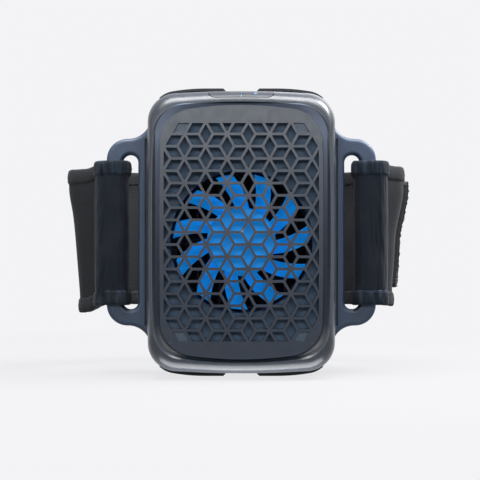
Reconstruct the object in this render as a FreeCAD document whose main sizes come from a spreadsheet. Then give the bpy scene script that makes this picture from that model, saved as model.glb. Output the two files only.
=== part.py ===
import FreeCAD, Part
import math
import os

import Sketcher
from FreeCAD import Placement, Rotation, Vector

# Hot and cold therapy machine on an elastic limb strap.
#
# Frame: millimetres. X runs to the right, Z up, and Y rearwards, from the fan grille to the limb.
# The treatment plate's face lies on Y = 0, X = 0 is the middle plane, and Z = 0 is the surface that
# the lower lips stand on. "Ahead" is the distance in front of the treatment face, so Y = -ahead.
# Sketches of the device are drawn on the XZ plane, about the device's centre.

SIZES = {
    # Front housing: a crowned rounded rectangle with a rolled band round the grille.
    "housing_half_width": 36.6,
    "housing_half_height": 54.6,
    "housing_corner": 11.0,
    "side_bow": 2200.0,
    "end_bow": 380.0,
    "wall": 2.0,
    "parting_ahead": 24.0,
    "widest_ahead": 38.0,
    "crest_ahead": 47.6,
    "rear_draft": 0.3,
    "band_side": 2.5,
    "band_end": 4.7,
    "valley_ahead": 46.2,
    "valley_side": 5.4,
    "valley_end": 6.1,
    "valley_round": 0.7,
    "neck_ahead": 40.0,
    "neck_side": 1.3,
    "neck_end": 1.7,
    "ledge_ahead": 44.4,
    "ledge_thickness": 1.2,
    "ledge_side": 0.9,
    "ledge_end": 4.6,
    # Grille panel: crowned plateau pierced by a lattice of rhombic cells.
    "plateau_corner": 13.0,
    "plateau_end_bow": 140.0,
    "grille_ahead": 50.0,
    "grille_crown": 600.0,
    "cell_side": 5.404,
    "rib_width": 1.0,
    "lattice_margin": 1.15,
    "lattice_columns": 8.0,
    "lattice_rows": 9.0,
    "blind_depth": 0.8,
    # Clearances between parts.
    "fit_clearance": 0.1,
    "key_clearance": 0.3,
    "slip_clearance": 0.3,
    "shaft_clearance": 0.05,
    "press_clearance": 0.02,
    # Strap frame: middle ring with a slotted lug on each side.
    "frame_ahead": 16.0,
    "frame_inset": 0.4,
    "frame_wall": 3.0,
    "lug_half_width": 53.45,
    "lug_half_height": 37.1,
    "lug_corner": 8.3,
    "lug_blend": 9.0,
    "lug_rear_ahead": 17.0,
    "lug_thickness": 5.5,
    "lug_edge": 1.6,
    "slot_outer": 47.06,
    "slot_width": 6.14,
    "slot_height": 61.3,
    "groove_width": 2.0,
    "groove_depth": 1.8,
    "vent_width": 3.4,
    "vent_pitch": 5.0,
    "vent_first": 10.0,
    "vent_count": 4.0,
    "vent_height": 4.4,
    # Rear cover with the lips that the machine stands on.
    "cover_ahead": 1.5,
    "cover_floor": 2.2,
    "cover_edge": 3.6,
    "lip_rear_ahead": 5.0,
    "lip_root_ahead": 14.0,
    "lip_front_ahead": 27.0,
    "lip_rise": 2.0,
    "lip_thickness": 1.0,
    "lip_flat": 14.0,
    "lip_bow": 78.0,
    "lip_shoulder": 27.0,
    "lip_corner": 10.4,
    "lip_turn": 33.0,
    "notch_base": 6.1,
    "notch_tip": 7.1,
    # Screw columns that clamp the three shells together.
    "column_x": 31.6,
    "column_z": 27.5,
    "column_radius": 2.9,
    "shell_screw": 2.0,
    "shell_head": 3.8,
    "shell_head_height": 1.6,
    "shell_pilot_depth": 9.0,
    # Treatment plate and the cold stack behind the fan.
    "fan_drop": 3.6,
    "plate_width": 52.0,
    "plate_height": 82.0,
    "plate_corner": 9.0,
    "plate_edge": 1.0,
    "flange_margin": 2.0,
    "flange_thickness": 2.0,
    "gasket_thickness": 0.6,
    "pedestal_top": 10.0,
    "peltier_side": 40.0,
    "peltier_height": 3.6,
    "peltier_ceramic": 0.8,
    "peltier_inset": 1.2,
    "thermal_pad": 0.5,
    "foam_side": 52.0,
    "foam_gap": 0.5,
    "sink_side": 52.0,
    "sink_base": 3.5,
    "fin_height": 12.8,
    "fin_thickness": 0.9,
    "fin_count": 13.0,
    "clamp_place": 23.0,
    "clamp_screw": 2.5,
    "clamp_head": 4.4,
    "clamp_head_height": 1.6,
    "clamp_pocket": 3.0,
    "clamp_grip": 2.0,
    "sensor_radius": 1.2,
    "sensor_length": 6.0,
    "sensor_place": 12.0,
    # Fan: shroud, motor bracket, impeller and motor.
    "shroud_thickness": 1.5,
    "shroud_half_height": 45.6,
    "duct_radius": 27.4,
    "duct_wall": 1.2,
    "duct_rear_ahead": 34.3,
    "ear_place": 30.4,
    "ear_radius": 2.8,
    "fan_screw": 1.6,
    "fan_head": 3.0,
    "fan_head_height": 1.0,
    "bracket_thickness": 2.0,
    "strut_width": 3.0,
    "motor_cup_radius": 12.0,
    "bearing_tube_radius": 3.2,
    "bearing_radius": 2.6,
    "bearing_length": 7.0,
    "shaft_radius": 1.5,
    "hub_radius": 13.2,
    "hub_front_ahead": 43.4,
    "hub_height": 7.6,
    "hub_wall": 1.1,
    "hub_edge": 0.8,
    "hub_boss_radius": 2.6,
    "hub_boss_height": 1.6,
    "impeller_radius": 26.2,
    "blade_count": 11.0,
    "blade_front_ahead": 42.6,
    "blade_height": 6.2,
    "blade_root_chord": 4.6,
    "blade_middle_chord": 6.2,
    "blade_tip_chord": 8.0,
    "blade_thickness": 0.9,
    "blade_camber": 0.6,
    "blade_sweep": 19.0,
    "blade_clock": 22.7,
    "blade_overrun": 6.0,
    "magnet_wall": 1.2,
    "magnet_height": 4.6,
    "stator_radius": 9.8,
    "stator_height": 3.0,
    "pole_width": 4.2,
    "coil_wall": 1.4,
    "coil_build": 1.12,
    # Cells, boards and keys.
    "cell_radius": 9.15,
    "cell_length": 50.0,
    "cell_ahead": 32.4,
    "upper_cell_z": 36.4,
    "lower_cell_z": 41.9,
    "cradle_wall": 0.9,
    "cradle_span": 60.0,
    "cradle_end": 1.2,
    "cradle_foot_x": 18.0,
    "cradle_foot_width": 6.0,
    "cradle_foot_height": 10.0,
    "contact_radius": 5.0,
    "contact_thickness": 0.8,
    "main_board_ahead": 18.6,
    "board_thickness": 1.6,
    "main_board_width": 48.0,
    "main_board_height": 18.6,
    "main_board_drop": 49.2,
    "standoff_x": 19.0,
    "standoff_drop": 46.0,
    "standoff_radius": 2.2,
    "board_screw": 1.6,
    "board_head": 3.0,
    "board_head_height": 1.0,
    "port_width": 8.94,
    "port_height": 3.26,
    "port_length": 8.0,
    "port_shell": 0.35,
    "tongue_width": 6.7,
    "tongue_thickness": 0.7,
    "tongue_setback": 1.0,
    "controller_side": 7.0,
    "controller_height": 1.0,
    "controller_x": -8.0,
    "controller_z": -37.0,
    "driver_width": 5.0,
    "driver_length": 6.0,
    "driver_height": 1.2,
    "driver_x": 4.0,
    "driver_z": -36.0,
    "inductor_side": 6.0,
    "inductor_height": 2.8,
    "inductor_x": 13.0,
    "inductor_z": -37.0,
    "socket_width": 6.0,
    "socket_length": 3.4,
    "socket_height": 3.0,
    "socket_x": -17.5,
    "socket_z": -35.0,
    "key_turn": 45.0,
    "pill_length": 24.7,
    "pill_width": 4.8,
    "key_gap": 0.15,
    "divider_width": 0.4,
    "key_travel": 0.35,
    "cap_depth": 2.2,
    "flange_depth": 0.8,
    "flange_side": 0.8,
    "stem_radius": 1.0,
    "switch_x": 7.9,
    "lens_x": 5.5,
    "lens_radius": 0.55,
    "control_board_depth": 6.0,
    "control_board_thickness": 1.0,
    "control_board_width": 25.0,
    "control_board_height": 7.0,
    "switch_side": 3.0,
    "switch_height": 1.2,
    "switch_body_height": 0.84,
    "post_x": 10.8,
    "post_radius": 1.2,
    # Strap: one band through both slots, folded back over the lugs and round the limb.
    "band_width": 45.0,
    "binding_width": 6.1,
    "band_thickness": 2.0,
    "binding_thickness": 2.6,
    "band_clearance": 0.5,
    "fold_radius": 2.2,
    "layer_gap": 0.5,
    "flare_rear": 13.0,
    "flare_left": 69.4,
    "flare_right": 67.0,
    "rear_reach": 50.0,
    "limb_side": 10.0,
    "tail_end": 16.0,
    "strap_drop": 0.1,
    "strap_sag": 3.0,
    "hook_width": 50.0,
    "hook_thickness": 1.2,
    "hook_length": 22.0,
}

# Sizes that follow from others.
DERIVED = {
    # Height of the device's centre above the surface that the lower lips stand on.
    "lip_reach": "=housing_half_height + lip_rise",
    # Bend of the band behind the limb, after its straight stretch beside it.
    "limb_corner": "=rear_reach - limb_side",
}

doc = FreeCAD.newDocument("therapy_machine")
sheet = doc.addObject("Spreadsheet::Sheet", "dim")
for row, (alias, value) in enumerate({**SIZES, **DERIVED}.items(), start=1):
    sheet.set(f"A{row}", alias)
    sheet.set(f"B{row}", str(value))
    sheet.setAlias(f"B{row}", alias)
doc.recompute()


def dim(alias):
    """Value of one driving dimension, read from the spreadsheet."""
    return float(sheet.get(alias))


def bind(target, prop, expression):
    """Tie a property of an object to the spreadsheet, such as "dim.wall * 2"."""
    target.setExpression(prop, expression)


# ---------------------------------------------------------------- document helpers


def new_body(label, x="0", ahead="0", z="dim.lip_reach"):
    """A PartDesign body whose origin lies at the given place of the device."""
    body = doc.addObject("PartDesign::Body", label)
    body.Label = label
    bind(body, "Placement.Base.x", x)
    bind(body, "Placement.Base.y", f"-({ahead})")
    bind(body, "Placement.Base.z", z)
    return body


def origin_feature(body, role):
    """Origin plane or axis of a body, by its role."""
    return next(item for item in body.Origin.OriginFeatures if item.Role == role)


def new_sketch(body, name, offset="0", role="XZ_Plane"):
    """Sketch on one of a body's own origin planes, set off along the plane's normal."""
    sketch = body.newObject("Sketcher::SketchObject", name)
    sketch.AttachmentSupport = [(origin_feature(body, role), "")]
    sketch.MapMode = "FlatFace"
    bind(sketch, "AttachmentOffset.Base.z", offset)
    return sketch


def add_constraint(sketch, name, expression, *arguments):
    """Named constraint of a sketch, tied to the spreadsheet."""
    index = sketch.addConstraint(Sketcher.Constraint(*arguments))
    sketch.renameConstraint(index, name)
    bind(sketch, f"Constraints.{name}", expression)


def add_circle(sketch, name, radius, x=0.0, y=0.0):
    """Circle with a bound radius; its centre is fixed where it is drawn."""
    value = evaluate(sketch, radius)
    index = sketch.addGeometry(Part.Circle(Vector(x, y, 0), Vector(0, 0, 1), value))
    if x == 0 and y == 0:
        sketch.addConstraint(Sketcher.Constraint("Coincident", index, 3, -1, 1))
    else:
        sketch.addConstraint(Sketcher.Constraint("DistanceX", index, 3, x))
        sketch.addConstraint(Sketcher.Constraint("DistanceY", index, 3, y))
    add_constraint(sketch, name, radius, "Radius", index, value)


def add_rectangle(sketch, name, width, height, x=0.0, y=0.0):
    """Rectangle about (x, y) whose two sides are bound to the spreadsheet."""
    half_w = evaluate(sketch, width) / 2
    half_h = evaluate(sketch, height) / 2
    corners = [
        Vector(x - half_w, y - half_h, 0),
        Vector(x + half_w, y - half_h, 0),
        Vector(x + half_w, y + half_h, 0),
        Vector(x - half_w, y + half_h, 0),
    ]
    first = sketch.GeometryCount
    for index in range(4):
        sketch.addGeometry(Part.LineSegment(corners[index], corners[(index + 1) % 4]))
    for index in range(4):
        following = first + (index + 1) % 4
        sketch.addConstraint(Sketcher.Constraint("Coincident", first + index, 2, following, 1))
    for index, kind in enumerate(("Horizontal", "Vertical", "Horizontal", "Vertical")):
        sketch.addConstraint(Sketcher.Constraint(kind, first + index))
    if x == 0 and y == 0:
        sketch.addConstraint(Sketcher.Constraint("Symmetric", first, 1, first + 1, 2, -1, 1))
    add_constraint(sketch, f"{name}_width", width, "DistanceX", first, 1, first, 2, 2 * half_w)
    add_constraint(sketch, f"{name}_height", height, "DistanceY", first + 1, 1, first + 1, 2, 2 * half_h)


def evaluate(owner, expression):
    """Present value of a spreadsheet expression."""
    result = owner.evalExpression(expression)
    return float(getattr(result, "Value", result))


def add_loop(sketch, edges):
    """Closed chain of lines and arcs whose places are worked out from the spreadsheet."""
    for edge in edges:
        sketch.addGeometry(edge)


def pad(body, name, sketch, length, reverse=False):
    """Pad of a sketch; forward is along the sketch's normal."""
    feature = body.newObject("PartDesign::Pad", name)
    feature.Profile = sketch
    feature.Reversed = reverse
    bind(feature, "Length", length)
    return feature


def pocket(body, name, sketch, length, forward=True):
    """Pocket of a sketch, which must take something away; forward is along the normal."""
    before = recomputed_volume(body)
    feature = body.newObject("PartDesign::Pocket", name)
    feature.Profile = sketch
    feature.Reversed = forward
    bind(feature, "Length", length)
    after = recomputed_volume(body)
    if not after < before - 1e-6:
        raise RuntimeError(f"{body.Label}.{name} cuts nothing")
    return feature


def recomputed_volume(body):
    """Volume of a body after a recompute."""
    doc.recompute()
    return body.Shape.Volume


def edge_names(shape, test):
    """Names of the edges of a shape that pass a test."""
    return [f"Edge{i}" for i, edge in enumerate(shape.Edges, start=1) if test(edge)]


def dress_edges(body, kind, name, base, test, size):
    """Fillet or chamfer on the edges of a feature that pass a test."""
    doc.recompute()
    names = edge_names(base.Shape, test)
    if not names:
        raise RuntimeError(f"{body.Label}.{name} finds no edge")
    feature = body.newObject(f"PartDesign::{kind}", name)
    feature.Base = (base, names)
    bind(feature, "Radius" if kind == "Fillet" else "Size", size)
    doc.recompute()
    return feature


def runs_along_y(edge):
    """True for a straight edge parallel to the front-to-rear axis."""
    ends = [vertex.Point for vertex in edge.Vertexes]
    if len(ends) != 2:
        return False
    run = ends[1] - ends[0]
    return abs(run.y) > 0.9 * edge.Length and abs(run.x) + abs(run.z) < 1e-6


def lies_at_ahead(ahead):
    """Test for edges that lie wholly in the plane that far ahead."""
    return lambda edge: (
        abs(edge.BoundBox.YMin + ahead) < 1e-4 and abs(edge.BoundBox.YMax + ahead) < 1e-4
    )


def block(label, width, depth, height, rear, x="0", z="0"):
    """Part::Box centred on (x, z) from the device's centre, from `rear` ahead forwards."""
    box = doc.addObject("Part::Box", label)
    box.Label = label
    bind(box, "Length", width)
    bind(box, "Width", depth)
    bind(box, "Height", height)
    bind(box, "Placement.Base.x", f"({x}) - ({width}) / 2")
    bind(box, "Placement.Base.y", f"-({rear}) - ({depth})")
    bind(box, "Placement.Base.z", f"dim.lip_reach + ({z}) - ({height}) / 2")
    return box


def rod(label, radius, length, rear, x="0", z="0"):
    """Part::Cylinder along Y, from `rear` ahead forwards."""
    cylinder = doc.addObject("Part::Cylinder", label)
    cylinder.Label = label
    bind(cylinder, "Radius", radius)
    bind(cylinder, "Height", length)
    cylinder.Placement = Placement(Vector(0, 0, 0), Rotation(Vector(1, 0, 0), 90))
    bind(cylinder, "Placement.Base.x", x)
    bind(cylinder, "Placement.Base.y", f"-({rear})")
    bind(cylinder, "Placement.Base.z", f"dim.lip_reach + ({z})")
    return cylinder


def difference(label, base, tool):
    """Part::Cut of two objects."""
    cut = doc.addObject("Part::Cut", label)
    cut.Label = label
    cut.Base = base
    cut.Tool = tool
    return cut


def union(label, shapes):
    """Part::MultiFuse of several objects."""
    fuse = doc.addObject("Part::MultiFuse", label)
    fuse.Label = label
    fuse.Shapes = shapes
    return fuse


def overlap(label, base, tool):
    """Part::Common of two objects."""
    common = doc.addObject("Part::Common", label)
    common.Label = label
    common.Base = base
    common.Tool = tool
    return common


def group(label, shapes):
    """Part::Compound of separate solids that share one node."""
    compound = doc.addObject("Part::Compound", label)
    compound.Label = label
    compound.Links = shapes
    return compound


# ---------------------------------------------------------------- outlines


def arc(start, middle, end):
    """Arc through three points."""
    return Part.Arc(start, middle, end)


def crossing(first, first_radius, second, second_radius):
    """Crossing of two circles in the XY plane that has positive coordinates."""
    span = second - first
    along = (first_radius**2 - second_radius**2 + span.Length**2) / (2 * span.Length)
    across = math.sqrt(first_radius**2 - along**2)
    unit = span / span.Length
    foot = first + unit * along
    sides = [foot + Vector(-unit.y, unit.x, 0) * (sign * across) for sign in (1, -1)]
    return max(sides, key=lambda point: min(point.x, point.y))


def plateau_half_width():
    """Half the grille panel's width: the housing's, less the band and valley beside it."""
    return dim("housing_half_width") - dim("valley_side")


def plateau_half_height():
    """Half the grille panel's height: the housing's, less the band and valley above it."""
    return dim("housing_half_height") - dim("valley_end")


def lattice_half_width():
    """Half the width of the lattice's field, inside the plateau's margin."""
    return plateau_half_width() - dim("lattice_margin")


def crowned_outline(half_width, half_height, corner, end_bow):
    """Rounded rectangle whose sides and ends bow outwards, as eight tangent arcs."""
    side_centre = Vector(half_width - dim("side_bow"), 0, 0)
    end_centre = Vector(0, half_height - end_bow, 0)
    centre = crossing(side_centre, dim("side_bow") - corner, end_centre, end_bow - corner)
    on_side = side_centre + (centre - side_centre).normalize() * dim("side_bow")
    on_end = end_centre + (centre - end_centre).normalize() * end_bow
    middle = centre + ((on_side - centre) + (on_end - centre)).normalize() * corner
    quarter = [on_side, middle, on_end]
    points = []
    for flip_x, flip_y in ((1, 1), (-1, 1), (-1, -1), (1, -1)):
        turned = [Vector(p.x * flip_x, p.y * flip_y, 0) for p in quarter]
        points.append(turned if flip_x == flip_y else turned[::-1])
    edges = []
    bulges = [
        Vector(0, half_height, 0),
        Vector(-half_width, 0, 0),
        Vector(0, -half_height, 0),
        Vector(half_width, 0, 0),
    ]
    for index, (start, bend, end) in enumerate(points):
        edges.append(arc(start, bend, end))
        edges.append(arc(end, bulges[index], points[(index + 1) % 4][0]))
    return edges


def housing_outline(inset):
    """The housing's widest outline, moved inwards all round."""
    return crowned_outline(
        dim("housing_half_width") - inset,
        dim("housing_half_height") - inset,
        dim("housing_corner") - inset,
        dim("end_bow") - inset,
    )


def plateau_outline(margin):
    """The grille panel's outline, moved outwards all round."""
    return crowned_outline(
        plateau_half_width() + margin,
        plateau_half_height() + margin,
        dim("plateau_corner") + margin,
        dim("plateau_end_bow") + margin,
    )


def polygon(points):
    """Closed chain of lines."""
    count = len(points)
    return [Part.LineSegment(points[i], points[(i + 1) % count]) for i in range(count)]


def slot_outline(x, width, height):
    """Upright slot with full-round ends, centred on (x, 0)."""
    radius = width / 2
    straight = height / 2 - radius
    corners = [
        Vector(x + radius, -straight, 0),
        Vector(x + radius, straight, 0),
        Vector(x - radius, straight, 0),
        Vector(x - radius, -straight, 0),
    ]
    return [
        Part.LineSegment(corners[0], corners[1]),
        arc(corners[1], Vector(x, straight + radius, 0), corners[2]),
        Part.LineSegment(corners[2], corners[3]),
        arc(corners[3], Vector(x, -straight - radius, 0), corners[0]),
    ]


def column_places():
    """Screw columns, about the device's centre."""
    return [(sx * dim("column_x"), sz * dim("column_z")) for sx in (-1, 1) for sz in (-1, 1)]


def clamp_places():
    """Clamp screws of the cold stack, about the fan's axis."""
    place = dim("clamp_place")
    return [(sx * place, sz * place) for sx in (-1, 1) for sz in (-1, 1)]


def ear_places():
    """Fan screws, about the fan's axis."""
    place = dim("ear_place") * math.sqrt(0.5)
    return [(sx * place, sz * place) for sx in (-1, 1) for sz in (-1, 1)]


# ---------------------------------------------------------------- front housing and keys


def band_section(body, name, ahead, side, end):
    """Outline at one station, between the housing's and the plateau's by its inset at the sides."""
    sketch = new_sketch(body, name, str(ahead))
    share = side / dim("valley_side")
    corner = dim("housing_corner") * (1 - share) + dim("plateau_corner") * share
    bend = (1 - share) / dim("end_bow") + share / dim("plateau_end_bow")
    half_width = dim("housing_half_width") - side
    half_height = dim("housing_half_height") - end
    add_loop(sketch, crowned_outline(half_width, half_height, corner, 1 / bend))
    return sketch


def add_loft(body, kind, name, sections):
    """Smooth loft through outlines given as (ahead, side inset, end inset)."""
    sketches = [
        band_section(body, f"{name}_section_{index}", *section)
        for index, section in enumerate(sections)
    ]
    loft = body.newObject(f"PartDesign::{kind}", name)
    loft.Profile = sketches[0]
    loft.Sections = sketches[1:]
    loft.Ruled = False
    doc.recompute()
    return loft


def add_band(body):
    """The housing's outer form: drafted side wall, rolled band and the valley at the grille."""
    side, end, draft = dim("band_side"), dim("band_end"), dim("rear_draft")
    parting, widest, crest = dim("parting_ahead"), dim("widest_ahead"), dim("crest_ahead")
    add_loft(body, "AdditiveLoft", "side_wall", [
        (parting, draft, draft),
        ((parting + widest) / 2, draft / 4, draft / 4),
        (widest, 0, 0),
    ])
    roll = []
    for turn in (0, 30, 60, 90):
        inset = 1 - math.cos(math.radians(turn))
        ahead = widest + (crest - widest) * math.sin(math.radians(turn))
        roll.append((ahead, side * inset, end * inset))
    add_loft(body, "AdditiveLoft", "band_roll", roll)
    foot_side, foot_end = dim("valley_side"), dim("valley_end")
    fall = crest - dim("valley_ahead")
    add_loft(body, "SubtractiveLoft", "valley", [
        (crest, side, end),
        (crest - dim("valley_round") * fall, (side + foot_side) / 2, (end + foot_end) / 2),
        (dim("valley_ahead"), foot_side, foot_end),
    ])


def key_place():
    """Centre of the pill on the rolled band, as (ahead, height), and the band's tilt there."""
    turn = math.radians(dim("key_turn"))
    roll = dim("crest_ahead") - dim("widest_ahead")
    ahead = dim("widest_ahead") + roll * math.sin(turn)
    height = dim("housing_half_height") - dim("band_end") * (1 - math.cos(turn))
    return ahead, height, math.atan2(dim("band_end") * math.sin(turn), roll * math.cos(turn))


def key_sketch(body, name, depth):
    """Sketch across the keys' pressing direction, at a depth below the pill's centre."""
    sketch = body.newObject("Sketcher::SketchObject", name)
    sketch.AttachmentSupport = [(origin_feature(body, "XY_Plane"), "")]
    sketch.MapMode = "FlatFace"
    ahead, height, tilt = key_place()
    sink = evaluate(sketch, depth)
    place = Vector(0, sink * math.sin(tilt) - ahead, height - sink * math.cos(tilt))
    sketch.AttachmentOffset = Placement(place, Rotation(Vector(1, 0, 0), math.degrees(tilt)))
    return sketch


def pill_outline(left, right, width, round_left=True, round_right=True):
    """Pill or half pill between two stations along X."""
    radius = width / 2
    start = left + radius if round_left else left
    stop = right - radius if round_right else right
    low_left, low_right = Vector(start, -radius, 0), Vector(stop, -radius, 0)
    high_left, high_right = Vector(start, radius, 0), Vector(stop, radius, 0)
    edges = [Part.LineSegment(low_left, low_right)]
    if round_right:
        edges.append(arc(low_right, Vector(right, 0, 0), high_right))
    else:
        edges.append(Part.LineSegment(low_right, high_right))
    edges.append(Part.LineSegment(high_right, high_left))
    if round_left:
        edges.append(arc(high_left, Vector(left, 0, 0), low_left))
    else:
        edges.append(Part.LineSegment(high_left, low_left))
    return edges


def make_front_housing():
    """Moulded front shell: band, valley, grille seat, key well and screw columns."""
    body = new_body("front_housing")
    add_band(body)

    cavity = new_sketch(body, "cavity_outline", "dim.parting_ahead")
    add_loop(cavity, housing_outline(dim("rear_draft") + dim("wall")))
    pocket(body, "cavity", cavity, "dim.neck_ahead - dim.parting_ahead")

    neck = new_sketch(body, "neck_outline", "dim.parting_ahead")
    neck_side = dim("rear_draft") + dim("wall") + dim("neck_side")
    neck_end = dim("rear_draft") + dim("wall") + dim("neck_end")
    add_loop(neck, crowned_outline(
        dim("housing_half_width") - neck_side,
        dim("housing_half_height") - neck_end,
        dim("housing_corner") - neck_side,
        dim("end_bow"),
    ))
    pocket(body, "neck", neck, "dim.ledge_ahead - dim.parting_ahead")

    opening = new_sketch(body, "ledge_outline", "dim.parting_ahead")
    add_loop(opening, crowned_outline(
        plateau_half_width() - dim("ledge_side"),
        plateau_half_height() - dim("ledge_end"),
        dim("plateau_corner") - dim("ledge_side"),
        dim("end_bow"),
    ))
    pocket(body, "ledge_opening", opening, "dim.grille_ahead - dim.parting_ahead")

    seat = new_sketch(body, "seat_outline", "dim.ledge_ahead + dim.ledge_thickness")
    add_loop(seat, plateau_outline(dim("fit_clearance")))
    pocket(body, "grille_seat", seat, "dim.grille_ahead - dim.ledge_ahead")

    columns = new_sketch(body, "column_outlines", "dim.parting_ahead")
    for index, (x, z) in enumerate(column_places()):
        add_circle(columns, f"column_{index}", "dim.column_radius", x, z)
    pad(body, "columns", columns, "dim.neck_ahead - dim.parting_ahead")

    pilots = new_sketch(body, "pilot_outlines", "dim.parting_ahead")
    for index, (x, z) in enumerate(column_places()):
        add_circle(pilots, f"pilot_{index}", "dim.shell_screw / 2 + dim.shaft_clearance", x, z)
    pocket(body, "pilots", pilots, "dim.shell_pilot_depth + dim.slip_clearance")

    well = key_sketch(body, "key_well_outline", "-dim.pill_width")
    reach = dim("pill_length") / 2 + dim("key_clearance")
    add_loop(well, pill_outline(-reach, reach, dim("pill_width") + 2 * dim("key_clearance")))
    pocket(body, "key_well", well, "dim.pill_width + dim.cap_depth + dim.flange_depth", forward=False)

    chamber = key_sketch(body, "key_chamber_outline", "dim.cap_depth - dim.key_clearance")
    half = dim("pill_length") / 2 + dim("flange_side") + dim("slip_clearance")
    front = -dim("pill_width") / 2 - dim("key_clearance")
    rear = dim("pill_width") / 2 + dim("flange_side") + dim("slip_clearance")
    add_loop(chamber, polygon([
        Vector(-half, front, 0), Vector(half, front, 0), Vector(half, rear, 0), Vector(-half, rear, 0),
    ]))
    pocket(body, "key_chamber", chamber, "dim.control_board_depth + dim.flange_depth", forward=False)

    posts = key_sketch(body, "post_outlines", "dim.cap_depth")
    post_y = rear + dim("post_radius")
    for index, side in enumerate((-1, 1)):
        add_circle(posts, f"post_{index}", "dim.post_radius", side * dim("post_x"), post_y)
    pad(body, "board_posts", posts, "dim.control_board_depth - dim.cap_depth", reverse=True)
    return body


def make_key(form, label, left, right, round_left, with_lens):
    """One half of the pill: its cap follows the band, with a retaining flange and a stem."""
    cap = new_body(f"{label}_blank")
    outline = key_sketch(cap, f"{label}_outline", "-dim.pill_width")
    add_loop(outline, pill_outline(left, right, dim("pill_width"), round_left, not round_left))
    pad(cap, f"{label}_prism", outline, "dim.pill_width + dim.cap_depth", reverse=True)
    top = overlap(f"{label}_cap", cap, form)

    low = new_body(f"{label}_low")
    flange = key_sketch(low, f"{label}_flange_outline", "dim.cap_depth")
    grow = dim("flange_side")
    start = left - grow if round_left else left
    stop = right if round_left else right + grow
    front = dim("key_gap") - dim("pill_width") / 2
    rear = dim("pill_width") / 2 + grow
    add_loop(flange, polygon([
        Vector(start, front, 0), Vector(stop, front, 0), Vector(stop, rear, 0), Vector(start, rear, 0),
    ]))
    pad(low, f"{label}_flange", flange, "dim.flange_depth", reverse=True)
    stem = key_sketch(low, f"{label}_stem_outline", "dim.cap_depth")
    side = -1 if round_left else 1
    add_circle(stem, "stem", "dim.stem_radius", side * dim("switch_x"), 0.0)
    stem_length = (
        "dim.control_board_depth - dim.switch_height - dim.cap_depth"
        " - dim.key_travel - dim.shaft_clearance"
    )
    pad(low, f"{label}_stem", stem, stem_length, reverse=True)
    if not with_lens:
        return union(label, [top, low])
    drill = new_body(f"{label}_drill")
    hole = key_sketch(drill, f"{label}_drill_outline", "-dim.pill_width")
    add_circle(hole, "bore", "dim.lens_radius + dim.shaft_clearance", dim("lens_x"), 0.0)
    pad(drill, f"{label}_drill_pad", hole, "3 * dim.pill_width", reverse=True)
    whole = union(f"{label}_whole", [top, low])
    return difference(label, whole, drill)


def make_keys():
    """Mode key on the left, power key on the right, and the light strip between them."""
    inner = dim("divider_width") / 2 + dim("key_gap")
    outer = dim("pill_length") / 2
    form = new_body("band_form")
    add_band(form)
    mode = make_key(form, "mode_button", -outer, -inner, True, False)
    power = make_key(form, "power_button", inner, outer, False, True)

    strip_blank = new_body("strip_blank")
    outline = key_sketch(strip_blank, "strip_outline", "-dim.pill_width")
    add_rectangle(outline, "strip", "dim.divider_width", "dim.pill_width")
    depth = "dim.pill_width + dim.control_board_depth"
    pad(strip_blank, "strip_pad", outline, depth, reverse=True)
    strip = overlap("light_strip", strip_blank, form)

    lens_blank = new_body("lens_blank")
    outline = key_sketch(lens_blank, "lens_outline", "-dim.pill_width")
    add_circle(outline, "lens", "dim.lens_radius", dim("lens_x"), 0.0)
    depth = "dim.pill_width + dim.cap_depth + dim.flange_depth"
    pad(lens_blank, "lens_pad", outline, depth, reverse=True)
    lens = overlap("indicator_lens", lens_blank, form)
    return [mode, power, strip, lens]


def make_control_board():
    """Small board under the keys, on the housing's posts, with two switches and an LED."""
    board = new_body("control_board")
    outline = key_sketch(board, "control_board_outline", "dim.control_board_depth")
    half = dim("control_board_width") / 2
    front = -dim("switch_side") / 2
    rear = front + dim("control_board_height")
    add_loop(outline, polygon([
        Vector(-half, front, 0), Vector(half, front, 0), Vector(half, rear, 0), Vector(-half, rear, 0),
    ]))
    pad(board, "control_board_pad", outline, "dim.control_board_thickness", reverse=True)

    switches = []
    for label, side in (("mode_switch", -1), ("power_switch", 1)):
        switch = new_body(label)
        base = key_sketch(switch, f"{label}_base", "dim.control_board_depth")
        add_rectangle(base, "base", "dim.switch_side", "dim.switch_side", side * dim("switch_x"), 0.0)
        pad(switch, f"{label}_pad", base, "dim.switch_body_height")
        dome = key_sketch(switch, f"{label}_dome", "dim.control_board_depth")
        add_circle(dome, "dome", "dim.stem_radius", side * dim("switch_x"), 0.0)
        pad(switch, f"{label}_dome_pad", dome, "dim.switch_height")
        switches.append(switch)
    led = new_body("indicator_led")
    base = key_sketch(led, "led_outline", "dim.control_board_depth")
    add_rectangle(base, "led", "dim.lens_radius * 2", "dim.lens_radius * 2", dim("lens_x"), 0.0)
    pad(led, "led_pad", base, "dim.switch_body_height")
    return [board, *switches, led]


# ---------------------------------------------------------------- grille


def lattice_span():
    """First and last column of the lattice's six-way vertices."""
    half = int(dim("lattice_columns")) // 2
    return -half, half - 1


def lattice_vertices():
    """Six-way vertices of the rhombille lattice, as (column, row in half pitches, point)."""
    side = dim("cell_side")
    pitch = side * math.sqrt(3)
    half_rows = int(dim("lattice_rows"))
    first_column, last_column = lattice_span()
    vertices = []
    for column in range(first_column, last_column + 1):
        x = side / 2 + 1.5 * side * column
        first = -half_rows + (column + half_rows + 1) % 2
        for row in range(first, half_rows + 1, 2):
            vertices.append((column, row, Vector(x, row * pitch / 2, 0)))
    return vertices


def rib_vector(turn):
    """Rib that leaves a vertex at a multiple of sixty degrees."""
    angle = math.radians(60 * turn)
    return Vector(math.cos(angle), math.sin(angle), 0) * dim("cell_side")


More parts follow.
